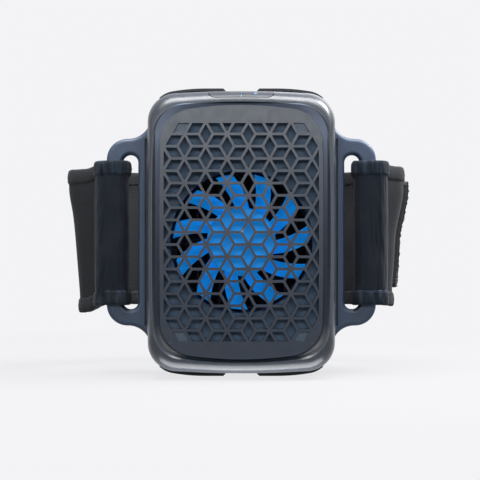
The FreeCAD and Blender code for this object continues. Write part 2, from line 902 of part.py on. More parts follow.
def inset_polygon(points, inset):
    """Convex polygon with every side moved inwards."""
    count = len(points)
    lines = []
    for index in range(count):
        start, end = points[index], points[(index + 1) % count]
        run = (end - start).normalize()
        lines.append((start + Vector(-run.y, run.x, 0) * inset, run))
    corners = []
    for index in range(count):
        first, along = lines[index - 1]
        second, across = lines[index]
        gap = second - first
        turn = along.x * across.y - along.y * across.x
        corners.append(first + along * ((gap.x * across.y - gap.y * across.x) / turn))
    return corners


def grille_cells():
    """Outlines of the through cells and of the four blind corner cells."""
    half_width = lattice_half_width()
    rows = int(dim("lattice_rows"))
    first, last = lattice_span()
    top = rows * dim("cell_side") * math.sqrt(3) / 2
    right_edge = dim("cell_side") * (1.5 * last + 0.5)
    through, blind = [], []
    for column, row, vertex in lattice_vertices():
        e0, e60, e120, e240, e300 = (rib_vector(turn) for turn in (0, 1, 2, 4, 5))
        inside_right = column < last
        if inside_right and row < rows and (column, row) != (first, -rows):
            cell = [vertex, vertex + e0, vertex + e0 + e60, vertex + e60]
            (blind if column == last - 1 and row == -rows else through).append(cell)
        if inside_right and row > -rows and (column, row) != (first, rows):
            cell = [vertex, vertex + e300, vertex + e300 + e0, vertex + e0]
            (blind if column == last - 1 and row == rows else through).append(cell)
        if row <= rows - 2:
            cell = [vertex, vertex + e60, vertex + e60 + e120, vertex + e120]
            if column > first:
                through.append(cell)
            elif abs(row) < rows - 1 and row + 2 < rows:
                edge = Vector(-half_width, 0, 0)
                through.append(clip_side([vertex, vertex + e60, vertex + e60 + e120], edge))
        if row == rows - 1 and first + 1 < column < last:
            through.append([vertex, vertex + e60, vertex + e120])
        if row == 1 - rows and first + 1 < column < last:
            through.append([vertex, vertex + e240, vertex + e300])
        if column == last and abs(row) < rows - 1:
            reach = half_width - right_edge
            drop = Vector(reach, -reach * math.sqrt(3), 0)
            rise = Vector(reach, reach * math.sqrt(3), 0)
            through.append([vertex, vertex + drop, vertex + rise])
    side = dim("cell_side")
    for sign in (1, -1):
        start = Vector((1.5 * first + 2) * side, sign * (top - side * math.sqrt(3) / 2), 0)
        cell = [
            start - Vector(side, 0, 0),
            start,
            start + rib_vector(sign),
            start + rib_vector(sign) - Vector(side, 0, 0),
        ]
        blind.append(cell if sign > 0 else cell[::-1])
    return through, blind


def clip_side(points, edge):
    """Triangle of a half cell, pushed out to the lattice's upright edge."""
    low, tip, high = points
    return [Vector(edge.x, low.y, 0), tip, Vector(edge.x, high.y, 0)]


def crown_fall(reach):
    """How far the grille's spherical crown falls off at a distance from its middle."""
    return dim("grille_crown") - math.sqrt(dim("grille_crown") ** 2 - reach**2)


def add_crown(body):
    """Groove that leaves the panel's front as a shallow dome."""
    sketch = new_sketch(body, "crown_outline", "0", "YZ_Plane")
    front = -dim("grille_ahead")
    reach = math.hypot(plateau_half_width(), plateau_half_height())
    apex = Vector(front, 0, 0)
    middle = Vector(front + crown_fall(reach / 2), reach / 2, 0)
    rim = Vector(front + crown_fall(reach), reach, 0)
    above = front - dim("ledge_thickness")
    add_loop(sketch, [
        arc(apex, middle, rim),
        Part.LineSegment(rim, Vector(above, reach, 0)),
        Part.LineSegment(Vector(above, reach, 0), Vector(above, 0, 0)),
        Part.LineSegment(Vector(above, 0, 0), apex),
    ])
    before = recomputed_volume(body)
    groove = body.newObject("PartDesign::Groove", "crown")
    groove.Profile = sketch
    groove.ReferenceAxis = (origin_feature(body, "Y_Axis"), [""])
    groove.Angle = 360
    if not recomputed_volume(body) < before:
        raise RuntimeError("the crown cuts nothing")


def make_front_grille():
    """Crowned grille panel with a rhombille lattice of open cells."""
    body = new_body("front_grille")
    outline = new_sketch(body, "panel_outline", "dim.ledge_ahead + dim.ledge_thickness")
    add_loop(outline, plateau_outline(0.0))
    pad(body, "panel", outline, "dim.grille_ahead - dim.ledge_ahead - dim.ledge_thickness")
    add_crown(body)

    through, blind = grille_cells()
    cells = new_sketch(body, "cell_outlines", "dim.ledge_ahead")
    for cell in through:
        add_loop(cells, polygon(inset_polygon(cell, dim("rib_width") / 2)))
    pocket(body, "cells", cells, "2 * (dim.grille_ahead - dim.ledge_ahead)")

    corner_fall = crown_fall(math.hypot(lattice_half_width(), plateau_half_height()))
    blinds = new_sketch(
        body, "blind_outlines", f"dim.grille_ahead - {corner_fall} - dim.blind_depth / 2"
    )
    for cell in blind:
        add_loop(blinds, polygon(inset_polygon(cell, dim("rib_width") / 2)))
    pocket(body, "blind_cells", blinds, "dim.grille_ahead - dim.ledge_ahead")
    return body


# ---------------------------------------------------------------- strap frame and rear cover


def lug_outline(side):
    """Outline of one lug, with its concave blends into the ring."""
    root = dim("housing_half_width") - dim("rear_draft") - dim("frame_inset")
    inner = root - dim("frame_wall")
    reach, half = dim("lug_half_width"), dim("lug_half_height")
    corner, blend = dim("lug_corner"), dim("lug_blend")
    diagonal = math.sqrt(0.5)
    upper = [
        Vector(inner, half + blend, 0),
        Vector(root, half + blend, 0),
        Vector(root + blend * (1 - diagonal), half + blend * (1 - diagonal), 0),
        Vector(root + blend, half, 0),
        Vector(reach - corner, half, 0),
        Vector(reach - corner * (1 - diagonal), half - corner * (1 - diagonal), 0),
        Vector(reach, half - corner, 0),
    ]
    lower = [Vector(p.x, -p.y, 0) for p in upper]
    up = [Vector(side * p.x, p.y, 0) for p in upper]
    down = [Vector(side * p.x, p.y, 0) for p in lower]
    return [
        Part.LineSegment(up[0], up[1]),
        arc(up[1], up[2], up[3]),
        Part.LineSegment(up[3], up[4]),
        arc(up[4], up[5], up[6]),
        Part.LineSegment(up[6], down[6]),
        arc(down[6], down[5], down[4]),
        Part.LineSegment(down[4], down[3]),
        arc(down[3], down[2], down[1]),
        Part.LineSegment(down[1], down[0]),
        Part.LineSegment(down[0], up[0]),
    ]


def make_strap_frame():
    """Middle ring with a slotted lug on each side and exhaust vents above and below."""
    body = new_body("strap_frame")
    inset = dim("rear_draft") + dim("frame_inset")
    lug_rear = "dim.lug_rear_ahead"

    lugs = new_sketch(body, "lug_outlines", lug_rear)
    for side in (-1, 1):
        add_loop(lugs, lug_outline(side))
    lug_pad = pad(body, "lugs", lugs, "dim.lug_thickness")
    doc.recompute()
    root = dim("housing_half_width")
    slot_x = dim("slot_outer") - dim("slot_width") / 2

    slots = new_sketch(body, "slot_outlines", lug_rear)
    for side in (-1, 1):
        add_loop(slots, slot_outline(side * slot_x, dim("slot_width"), dim("slot_height")))
    slot_cut = pocket(body, "slots", slots, "dim.lug_thickness")

    front = dim("lug_rear_ahead") + dim("lug_thickness")
    on_faces = (lies_at_ahead(dim("lug_rear_ahead")), lies_at_ahead(front))

    def lug_edge(edge):
        """True for the face edges of the lugs that lie outside the ring."""
        away = min(abs(edge.BoundBox.XMin), abs(edge.BoundBox.XMax)) > root
        return away and (on_faces[0](edge) or on_faces[1](edge))

    dress_edges(body, "Fillet", "lug_edges", slot_cut, lug_edge, "dim.lug_edge")

    ring = new_sketch(body, "ring_outline", "dim.frame_ahead")
    add_loop(ring, housing_outline(inset))
    add_loop(ring, housing_outline(inset + dim("frame_wall")))
    pad(body, "ring", ring, "dim.parting_ahead - dim.frame_ahead")

    ears = new_sketch(body, "ear_outlines", "dim.frame_ahead")
    for index, (x, z) in enumerate(column_places()):
        add_circle(ears, f"ear_{index}", "dim.column_radius", x, z)
    pad(body, "ears", ears, "dim.parting_ahead - dim.frame_ahead")

    holes = new_sketch(body, "hole_outlines", "dim.frame_ahead")
    for index, (x, z) in enumerate(column_places()):
        add_circle(holes, f"hole_{index}", "dim.shell_screw / 2 + dim.slip_clearance", x, z)
    pocket(body, "holes", holes, "dim.parting_ahead - dim.frame_ahead")

    groove = new_sketch(body, "groove_outlines", "dim.lug_rear_ahead + dim.lug_thickness")
    groove_x = root + dim("groove_width") / 2 - dim("rear_draft")
    for side in (-1, 1):
        add_rectangle(
            groove, "left" if side < 0 else "right", "dim.groove_width",
            "2 * dim.lug_half_height", side * groove_x, 0.0,
        )
    pocket(body, "shadow_grooves", groove, "dim.groove_depth", forward=False)

    vents = new_sketch(body, "vent_outlines", "-dim.housing_half_height", "XY_Plane")
    middle = (dim("frame_ahead") + dim("parting_ahead")) / 2
    for index in range(int(dim("vent_count"))):
        x = dim("vent_first") + index * dim("vent_pitch")
        for side, word in ((-1, "left"), (1, "right")):
            name = f"vent_{word}_{index}"
            add_rectangle(vents, name, "dim.vent_width", "dim.vent_height", side * x, -middle)
    pocket(body, "vents", vents, "2 * dim.housing_half_height")

    port = new_sketch(body, "port_hole", "-dim.housing_half_height", "XY_Plane")
    width = "dim.port_width + 2 * dim.slip_clearance"
    height = "dim.port_height + 2 * dim.slip_clearance"
    add_rectangle(port, "port", width, height, 0.0, -port_middle())
    pocket(body, "port_opening", port, "dim.housing_half_height / 2")
    return body


def port_middle():
    """How far ahead the charging port's axis lies: on the main board's front face."""
    return dim("main_board_ahead") + dim("board_thickness") + dim("port_height") / 2


def lip_line(depth):
    """Half of a lip's line, a depth below its top: flat, then a long bend and a tight one."""
    top, flat, shoulder = dim("lip_reach"), dim("lip_flat"), dim("lip_shoulder")
    bow_centre = Vector(flat, top - dim("lip_bow"), 0)
    lean = math.asin((shoulder - flat) / dim("lip_bow"))
    corner_centre = bow_centre + heading(lean) * (dim("lip_bow") - dim("lip_corner"))
    bow, corner = dim("lip_bow") - depth, dim("lip_corner") - depth
    turn = math.radians(dim("lip_turn"))
    on_bow = [bow_centre + heading(lean * share) * bow for share in (0, 0.5, 1)]
    on_corner = [corner_centre + heading(lean + turn * share) * corner for share in (0, 0.5, 1)]
    return on_bow, on_corner


def heading(lean):
    """Unit vector that leans from straight up towards +X."""
    return Vector(math.sin(lean), math.cos(lean), 0)


def lip_edges(points, sign, side):
    """Lines and arcs through a chain of points and triples, mirrored to one end and side."""
    place = [[Vector(side * p.x, sign * p.y, 0) for p in run] for run in points]
    edges = []
    for run, following in zip(place, place[1:] + place[:1]):
        if len(run) == 3:
            edges.append(arc(*run))
        if (run[-1] - following[0]).Length > dim("press_clearance"):
            edges.append(Part.LineSegment(run[-1], following[0]))
    return edges


def lip_halves(sign, depth):
    """The two lips over one end of the housing, each from its top line down to a depth."""
    on_bow, on_corner = lip_line(0)
    under_bow, under_corner = lip_line(depth)
    chain = [
        [Vector(dim("notch_tip"), dim("lip_reach"), 0)], on_bow, on_corner,
        under_corner[::-1], under_bow[::-1],
        [Vector(dim("notch_base"), dim("lip_reach") - depth, 0)],
    ]
    return [lip_edges(chain, sign, side) for side in (-1, 1)]


def make_rear_cover():
    """Rear shell: plate opening, screw columns, board standoffs and the lips."""
    body = new_body("rear_cover")
    shell = new_sketch(body, "shell_outline", "dim.cover_ahead")
    inset = dim("rear_draft") + dim("frame_inset") / 2
    add_loop(shell, housing_outline(inset))
    shell_pad = pad(body, "shell", shell, "dim.frame_ahead - dim.cover_ahead")
    rear_edges = lies_at_ahead(dim("cover_ahead"))
    dress_edges(body, "Fillet", "rear_round", shell_pad, rear_edges, "dim.cover_edge")

    roots = new_sketch(body, "lip_root_outline", "dim.lip_rear_ahead")
    lips = new_sketch(body, "lip_outline", "dim.lip_rear_ahead")
    for sign in (-1, 1):
        for edges in lip_halves(sign, dim("lip_rise") + dim("wall")):
            add_loop(roots, edges)
        for edges in lip_halves(sign, dim("lip_thickness")):
            add_loop(lips, edges)
    pad(body, "lip_roots", roots, "dim.lip_root_ahead - dim.lip_rear_ahead")
    pad(body, "lips", lips, "dim.lip_front_ahead - dim.lip_rear_ahead")

    floor = "dim.cover_ahead + dim.cover_floor"
    cavity = new_sketch(body, "cover_cavity_outline", floor)
    add_loop(cavity, housing_outline(inset + dim("wall")))
    pocket(body, "cover_cavity", cavity, f"dim.frame_ahead - ({floor})")

    window = new_sketch(body, "window_outline", "0")
    gap = dim("slip_clearance")
    add_loop(window, rounded_rectangle(
        dim("plate_width") / 2 + gap, dim("plate_height") / 2 + gap, dim("plate_corner") + gap
    ))
    pocket(body, "window", window, floor)

    columns = new_sketch(body, "cover_column_outlines", floor)
    for index, (x, z) in enumerate(column_places()):
        add_circle(columns, f"column_{index}", "dim.column_radius", x, z)
    pad(body, "cover_columns", columns, f"dim.frame_ahead - ({floor})")

    holes = new_sketch(body, "cover_hole_outlines", "0")
    heads = new_sketch(body, "head_outlines", "0")
    for index, (x, z) in enumerate(column_places()):
        add_circle(holes, f"hole_{index}", "dim.shell_screw / 2 + dim.slip_clearance", x, z)
        add_circle(heads, f"head_{index}", "dim.shell_head / 2 + dim.slip_clearance", x, z)
    pocket(body, "cover_holes", holes, "dim.frame_ahead")
    pocket(body, "head_pockets", heads, "dim.cover_ahead + dim.cover_floor")

    standoffs = new_sketch(body, "standoff_outlines", floor)
    for index, side in enumerate((-1, 1)):
        x, z = side * dim("standoff_x"), -dim("standoff_drop")
        add_circle(standoffs, f"standoff_{index}", "dim.standoff_radius", x, z)
    pad(body, "standoffs", standoffs, f"dim.main_board_ahead - ({floor})")
    pilots = new_sketch(body, "standoff_pilots", "dim.main_board_ahead")
    for index, side in enumerate((-1, 1)):
        x, z = side * dim("standoff_x"), -dim("standoff_drop")
        add_circle(pilots, f"pilot_{index}", "dim.board_screw / 2 + dim.shaft_clearance", x, z)
    pocket(body, "standoff_holes", pilots, "4 * dim.board_screw", forward=False)
    return body


def rounded_rectangle(half_width, half_height, corner):
    """Rounded rectangle with straight sides."""
    diagonal = corner * (1 - math.sqrt(0.5))
    edges = []
    turns = ((1, 1), (-1, 1), (-1, -1), (1, -1))
    points = []
    for sx, sy in turns:
        on_side = Vector(sx * half_width, sy * (half_height - corner), 0)
        bend = Vector(sx * (half_width - diagonal), sy * (half_height - diagonal), 0)
        on_end = Vector(sx * (half_width - corner), sy * half_height, 0)
        points.append([on_side, bend, on_end] if sx == sy else [on_end, bend, on_side])
    for index, (start, bend, end) in enumerate(points):
        edges.append(arc(start, bend, end))
        edges.append(Part.LineSegment(end, points[(index + 1) % 4][0]))
    return edges


# ---------------------------------------------------------------- cold stack


def flange_rear():
    """How far ahead the treatment plate's flange starts: on the gasket."""
    return dim("cover_ahead") + dim("cover_floor") + dim("gasket_thickness")


def make_treatment_plate():
    """Aluminium plate: touched face, flange that seals on the gasket, and pedestal."""
    body = new_body("treatment_plate")
    width, height, corner = dim("plate_width") / 2, dim("plate_height") / 2, dim("plate_corner")
    margin = dim("flange_margin")
    flange_start = "dim.cover_ahead + dim.cover_floor + dim.gasket_thickness"

    face = new_sketch(body, "face_outline", "0")
    add_loop(face, rounded_rectangle(width, height, corner))
    face_pad = pad(body, "face", face, flange_start)
    dress_edges(body, "Chamfer", "face_edge", face_pad, lies_at_ahead(0.0), "dim.plate_edge")

    flange = new_sketch(body, "flange_outline", flange_start)
    add_loop(flange, rounded_rectangle(width + margin, height + margin, corner + margin))
    pad(body, "flange", flange, "dim.flange_thickness")

    pedestal = new_sketch(body, "pedestal_outline", flange_start)
    add_rectangle(pedestal, "pedestal", "dim.peltier_side", "dim.peltier_side", 0.0, -dim("fan_drop"))
    pad(body, "pedestal", pedestal, f"dim.pedestal_top - ({flange_start})")

    taps = new_sketch(body, "tap_outlines", f"{flange_start} + dim.flange_thickness")
    for index, (x, z) in enumerate(clamp_places()):
        radius = "dim.clamp_screw / 2 + dim.shaft_clearance"
        add_circle(taps, f"tap_{index}", radius, x, z - dim("fan_drop"))
    depth = "dim.clamp_grip + dim.slip_clearance"
    pocket(body, "taps", taps, depth, forward=False)

    bore = new_sketch(body, "sensor_bore_outline", "dim.peltier_side / 2", "YZ_Plane")
    add_circle(bore, "bore", "dim.sensor_radius + dim.fit_clearance", *sensor_point())
    pocket(body, "sensor_bore", bore, "dim.sensor_length + dim.fit_clearance", forward=False)
    return body


def sensor_point():
    """Sensor's axis on the YZ plane: half way up the pedestal."""
    middle = (flange_rear() + dim("flange_thickness") + dim("pedestal_top")) / 2
    return -middle, dim("sensor_place") - dim("fan_drop")


def make_sensor():
    """Bead thermistor pushed into the side of the pedestal."""
    sensor = doc.addObject("Part::Cylinder", "temperature_sensor")
    sensor.Label = "temperature_sensor"
    bind(sensor, "Radius", "dim.sensor_radius")
    bind(sensor, "Height", "dim.sensor_length")
    y, z = sensor_point()
    start = dim("peltier_side") / 2 - dim("sensor_length")
    sensor.Placement = Placement(
        Vector(start, y, z + dim("lip_reach")), Rotation(Vector(0, 1, 0), 90)
    )
    return sensor


def make_gasket():
    """Silicone ring between the plate's flange and the rear cover."""
    body = new_body("plate_gasket")
    sketch = new_sketch(body, "gasket_outline", "dim.cover_ahead + dim.cover_floor")
    width, height, corner = dim("plate_width") / 2, dim("plate_height") / 2, dim("plate_corner")
    margin, gap = dim("flange_margin"), dim("slip_clearance")
    add_loop(sketch, rounded_rectangle(width + margin, height + margin, corner + margin))
    add_loop(sketch, rounded_rectangle(width + gap, height + gap, corner + gap))
    pad(body, "gasket", sketch, "dim.gasket_thickness")
    return body


def make_cold_stack():
    """Thermal pads, Peltier module, foam frame and heat sink on the plate's pedestal."""
    drop = "-dim.fan_drop"
    side = "dim.peltier_side"
    cold = block("cold_pad", side, "dim.thermal_pad", side, "dim.pedestal_top", "0", drop)
    module_rear = "dim.pedestal_top + dim.thermal_pad"
    body = new_body("peltier_module", "0", module_rear, "dim.lip_reach - dim.fan_drop")
    outline = new_sketch(body, "ceramic_outline", "0")
    add_rectangle(outline, "ceramic", side, side)
    pad(body, "slab", outline, "dim.peltier_height")
    waist = new_sketch(body, "waist_outline", "dim.peltier_ceramic")
    add_rectangle(waist, "outer", f"{side} + 2", f"{side} + 2")
    add_rectangle(waist, "inner", f"{side} - 2 * dim.peltier_inset", f"{side} - 2 * dim.peltier_inset")
    pocket(body, "waist", waist, "dim.peltier_height - 2 * dim.peltier_ceramic")
    hot_rear = f"{module_rear} + dim.peltier_height"
    hot = block("hot_pad", side, "dim.thermal_pad", side, hot_rear, "0", drop)
    return [cold, body, hot]


def sink_rear():
    """How far ahead the heat sink's base starts: on the upper thermal pad."""
    return dim("pedestal_top") + dim("peltier_height") + 2 * dim("thermal_pad")


def make_foam():
    """Insulating foam frame between the cold plate and the hot sink."""
    rear = flange_rear() + dim("flange_thickness")
    body = new_body("insulation_foam", "0", str(rear), "dim.lip_reach - dim.fan_drop")
    outline = new_sketch(body, "foam_outline", "0")
    add_rectangle(outline, "outer", "dim.foam_side", "dim.foam_side")
    inner = "dim.peltier_side + 2 * dim.foam_gap"
    add_rectangle(outline, "inner", inner, inner)
    pad(body, "foam", outline, str(sink_rear() - rear))
    holes = new_sketch(body, "foam_hole_outlines", "0")
    for index, (x, z) in enumerate(clamp_places()):
        add_circle(holes, f"hole_{index}", "dim.clamp_screw / 2 + dim.slip_clearance", x, z)
    pocket(body, "foam_holes", holes, str(sink_rear() - rear))
    return body


def make_heat_sink():
    """Extruded heat sink with upright fins, pocketed for the four clamp screws."""
    body = new_body("heat_sink", "0", str(sink_rear()), "dim.lip_reach - dim.fan_drop")
    base = new_sketch(body, "base_outline", "0")
    add_rectangle(base, "base", "dim.sink_side", "dim.sink_side")
    pad(body, "base", base, "dim.sink_base")
    count = int(dim("fin_count"))
    first = dim("fin_thickness") / 2 - dim("sink_side") / 2
    fins = new_sketch(body, "fin_outline", "0")
    add_rectangle(fins, "fin", "dim.fin_thickness", "dim.sink_side", first, 0.0)
    fin_pad = pad(body, "fin", fins, "dim.sink_base + dim.fin_height")
    doc.recompute()
    pattern = body.newObject("PartDesign::LinearPattern", "fins")
    pattern.Originals = [fin_pad]
    pattern.Direction = (origin_feature(body, "X_Axis"), [""])
    bind(pattern, "Length", "dim.sink_side - dim.fin_thickness")
    pattern.Occurrences = count
    body.Tip = pattern
    pockets = new_sketch(body, "clamp_pocket_outlines", "dim.sink_base")
    holes = new_sketch(body, "clamp_hole_outlines", "0")
    for index, (x, z) in enumerate(clamp_places()):
        add_circle(pockets, f"pocket_{index}", "dim.clamp_pocket", x, z)
        add_circle(holes, f"hole_{index}", "dim.clamp_screw / 2 + dim.slip_clearance", x, z)
    pocket(body, "clamp_pockets", pockets, "dim.fin_height")
    pocket(body, "clamp_holes", holes, "dim.sink_base")
    return body


def screw(name, shank, head, head_height, head_seat, tip, x, z, head_front=True):
    """Pan-head screw along Y as one solid: shank from `tip` to `head_seat`, then the head."""
    lower, upper = min(tip, head_seat), max(tip, head_seat)
    shank_rod = rod(f"{name}_shank", f"{shank} / 2", str(upper - lower), str(lower), str(x), str(z))
    head_rear = head_seat if head_front else head_seat - dim(head_height)
    head_rod = rod(f"{name}_head", f"{head} / 2", f"dim.{head_height}", str(head_rear), str(x), str(z))
    socket_depth = dim(head_height) / 2
    socket_rear = head_rear + dim(head_height) - socket_depth if head_front else head_rear
    socket = rod(f"{name}_socket", f"{head} / 5", str(socket_depth), str(socket_rear), str(x), str(z))
    whole = union(f"{name}_whole", [shank_rod, head_rod])
    return difference(name, whole, socket)


def make_screws():
    """The four sets of screws, each set one node of separate solids."""
    drop = dim("fan_drop")
    seat = dim("cover_ahead") + dim("cover_floor")
    shell = [
        screw(f"shell_screw_{i}", "dim.shell_screw", "dim.shell_head", "shell_head_height",
              seat, dim("parting_ahead") + dim("shell_pilot_depth"), x, z, head_front=False)
        for i, (x, z) in enumerate(column_places())
    ]
    clamp_seat = sink_rear() + dim("sink_base")
    clamp_tip = flange_rear() + dim("flange_thickness") - dim("clamp_grip")
    clamp = [
        screw(f"clamp_screw_{i}", "dim.clamp_screw", "dim.clamp_head", "clamp_head_height",
              clamp_seat, clamp_tip, x, z - drop)
        for i, (x, z) in enumerate(clamp_places())
    ]
    fan_seat = dim("duct_rear_ahead") - dim("bracket_thickness")
    fan = [
        screw(f"fan_screw_{i}", "dim.fan_screw", "dim.fan_head", "fan_head_height",
              fan_seat, dim("duct_rear_ahead") + dim("bracket_thickness") * 2, x, z - drop,
              head_front=False)
        for i, (x, z) in enumerate(ear_places())
    ]
    board_seat = dim("main_board_ahead") + dim("board_thickness")
    board = [
        screw(f"board_screw_{i}", "dim.board_screw", "dim.board_head", "board_head_height",
              board_seat, dim("main_board_ahead") - 3 * dim("board_screw"),
              side * dim("standoff_x"), -dim("standoff_drop"))
        for i, side in enumerate((-1, 1))
    ]
    return [
        group("shell_screws", shell),
        group("clamp_screws", clamp),
        group("fan_screws", fan),
        group("board_screws", board),
    ]


# ---------------------------------------------------------------- fan


def fan_body(label):
    """Body whose origin lies on the fan's axis, in the plane of the treatment face."""
    return new_body(label, "0", "0", "dim.lip_reach - dim.fan_drop")


def make_shroud():
    """Panel behind the grille with the fan's round duct and four screw bosses."""
    body = fan_body("fan_shroud")
    rear = "dim.ledge_ahead - dim.shroud_thickness"
    panel = new_sketch(body, "shroud_outline", rear)
    inset = dim("rear_draft") + dim("wall") + dim("neck_side") + dim("slip_clearance")
    edges = crowned_outline(
        dim("housing_half_width") - inset, dim("shroud_half_height"), dim("plateau_corner"),
        dim("end_bow"),
    )
    for edge in edges:
        edge.translate(Vector(0, dim("fan_drop"), 0))
    add_loop(panel, edges)
    pad(body, "shroud_panel", panel, "dim.shroud_thickness")
    duct = new_sketch(body, "duct_outline", "dim.duct_rear_ahead")
    add_circle(duct, "duct", "dim.duct_radius + dim.duct_wall")
    pad(body, "duct", duct, "dim.ledge_ahead - dim.duct_rear_ahead")
    bosses = new_sketch(body, "boss_outlines", "dim.duct_rear_ahead")
    for index, (x, z) in enumerate(ear_places()):
        add_circle(bosses, f"boss_{index}", "dim.ear_radius", x, z)
    pad(body, "bosses", bosses, "dim.ledge_ahead - dim.duct_rear_ahead")
    bore = new_sketch(body, "duct_bore", "dim.duct_rear_ahead")
    add_circle(bore, "bore", "dim.duct_radius")
    pocket(body, "duct_opening", bore, "dim.ledge_ahead - dim.duct_rear_ahead")
    pilots = new_sketch(body, "boss_pilots", "dim.duct_rear_ahead")
    for index, (x, z) in enumerate(ear_places()):
        add_circle(pilots, f"pilot_{index}", "dim.fan_screw / 2 + dim.shaft_clearance", x, z)
    pocket(body, "boss_holes", pilots, "dim.bracket_thickness * 2 + dim.slip_clearance")
    return body


def make_fan_bracket():
    """Ring with ears, four struts and the cup and tube that hold the motor."""
    body = fan_body("fan_bracket")
    rear = "dim.duct_rear_ahead - dim.bracket_thickness"
    ring = new_sketch(body, "ring_outline", rear)
    add_circle(ring, "outer", "dim.duct_radius + dim.duct_wall")
    pad(body, "ring", ring, "dim.bracket_thickness")
    ears = new_sketch(body, "ear_outlines", rear)
    for index, (x, z) in enumerate(ear_places()):
        add_circle(ears, f"ear_{index}", "dim.ear_radius", x, z)
    pad(body, "ears", ears, "dim.bracket_thickness")
    opening = new_sketch(body, "opening_outline", rear)
    add_circle(opening, "opening", "dim.duct_radius - dim.duct_wall")
    pocket(body, "opening", opening, "dim.bracket_thickness")
    struts = new_sketch(body, "strut_outlines", rear)
    add_rectangle(struts, "upright", "dim.strut_width", "2 * dim.duct_radius")
    pad(body, "upright_struts", struts, "dim.bracket_thickness")
    across = new_sketch(body, "cross_outlines", rear)
    add_rectangle(across, "level", "2 * dim.duct_radius", "dim.strut_width")
    pad(body, "level_struts", across, "dim.bracket_thickness")
    cup = new_sketch(body, "cup_outline", rear)
    add_circle(cup, "cup", "dim.motor_cup_radius")
    pad(body, "cup", cup, "dim.bracket_thickness / 2")
    recess = new_sketch(body, "recess_outline", f"{rear} + dim.bracket_thickness / 2")
    add_circle(recess, "recess", "dim.motor_cup_radius")
    pocket(body, "cup_recess", recess, "dim.bracket_thickness / 2")
    tube = new_sketch(body, "tube_outline", rear)
    add_circle(tube, "tube", "dim.bearing_tube_radius")
    pad(body, "tube", tube, "dim.bracket_thickness / 2 + dim.bearing_length")
    bore = new_sketch(body, "bore_outline", f"{rear} + dim.bracket_thickness / 2")
    add_circle(bore, "bore", "dim.bearing_radius + dim.shaft_clearance")
    pocket(body, "bearing_bore", bore, "dim.bearing_length")
    holes = new_sketch(body, "ear_hole_outlines", rear)
    for index, (x, z) in enumerate(ear_places()):
        add_circle(holes, f"hole_{index}", "dim.fan_screw / 2 + dim.slip_clearance", x, z)
    pocket(body, "ear_holes", holes, "dim.bracket_thickness")
    return body


def bearing_rear():
    """How far ahead the bearing starts: on the bracket's cup."""
    return dim("duct_rear_ahead") - dim("bracket_thickness") / 2


def make_motor():
    """Bearing, stator and coils on the bracket; shaft and magnet in the impeller's hub."""
    axis_z = "-dim.fan_drop"
    start = str(bearing_rear())
    outer = rod("bearing_outer", "dim.bearing_radius", "dim.bearing_length", start, "0", axis_z)
    bore = rod("bearing_bore", "dim.shaft_radius + dim.shaft_clearance", "dim.bearing_length",
               start, "0", axis_z)
    bearing = difference("fan_bearing", outer, bore)

    shaft_rear = bearing_rear() + dim("slip_clearance")
    hub_inside = dim("hub_front_ahead") - dim("hub_wall")
    shaft = rod("fan_shaft", "dim.shaft_radius", str(hub_inside - shaft_rear), str(shaft_rear),
                "0", axis_z)

    magnet_outer = dim("hub_radius") - dim("hub_wall") - dim("shaft_clearance")
    magnet_rear = str(hub_inside - dim("magnet_height"))
    ring = rod("magnet_outer", str(magnet_outer), "dim.magnet_height", magnet_rear, "0", axis_z)
    hole = rod("magnet_bore", str(magnet_outer - dim("magnet_wall")), "dim.magnet_height",
               magnet_rear, "0", axis_z)
    magnet = difference("rotor_magnet", ring, hole)
    return [bearing, shaft, magnet, *make_stator(axis_z)]


def make_stator(axis_z):
    """Four-pole lamination on the bearing tube, with a coil round each pole."""
    rear = bearing_rear() + dim("coil_wall")
    body = new_body("stator_core", "0", str(rear), "dim.lip_reach - dim.fan_drop")
    sketch = new_sketch(body, "disc_outline", "0")
    add_circle(sketch, "disc", "dim.stator_radius")
    pad(body, "disc", sketch, "dim.stator_height")
    windows = new_sketch(body, "window_outlines", "0")
    inner = dim("bearing_tube_radius") + dim("coil_wall")
    outer = dim("stator_radius") - dim("coil_wall")
    half = dim("pole_width") / 2
    for quarter in range(4):
        spin = Rotation(Vector(0, 0, 1), 90 * quarter)
        start_in, start_out = math.asin(half / inner), math.asin(half / outer)
        add_loop(windows, [item for item in window_edges(inner, outer, start_in, start_out, spin)])
    pocket(body, "coil_windows", windows, "dim.stator_height")
    bore = new_sketch(body, "stator_bore_outline", "0")
    add_circle(bore, "bore", "dim.bearing_tube_radius + dim.fit_clearance")
    pocket(body, "stator_bore", bore, "dim.stator_height")

    coils = []
    gap = dim("fit_clearance")
    wide = dim("pole_width") + 2 * dim("coil_build")
    deep = dim("stator_height") + 2 * dim("coil_build")
    reach = math.sqrt((outer - gap) ** 2 - (wide / 2) ** 2)
    length = reach - inner - gap
    middle = (reach + inner + gap) / 2
    for quarter in range(4):
        outside = Part.makeBox(length, deep, wide, Vector(middle - length / 2, -deep / 2, -wide / 2))
        hollow = Part.makeBox(
            length, dim("stator_height") + 2 * gap, dim("pole_width") + 2 * gap,
            Vector(middle - length / 2, -dim("stator_height") / 2 - gap, -dim("pole_width") / 2 - gap),
        )
        coil = outside.cut(hollow)
        coil.rotate(Vector(0, 0, 0), Vector(0, 1, 0), 90 * quarter)
        coils.append(coil)
    node = doc.addObject("Part::Feature", "stator_coils")
    node.Label = "stator_coils"
    node.Shape = Part.makeCompound(coils)
    centre = rear + dim("stator_height") / 2
    node.Placement = Placement(
        Vector(0, -centre, dim("lip_reach") - dim("fan_drop")), Rotation()
    )
    return [body, node]


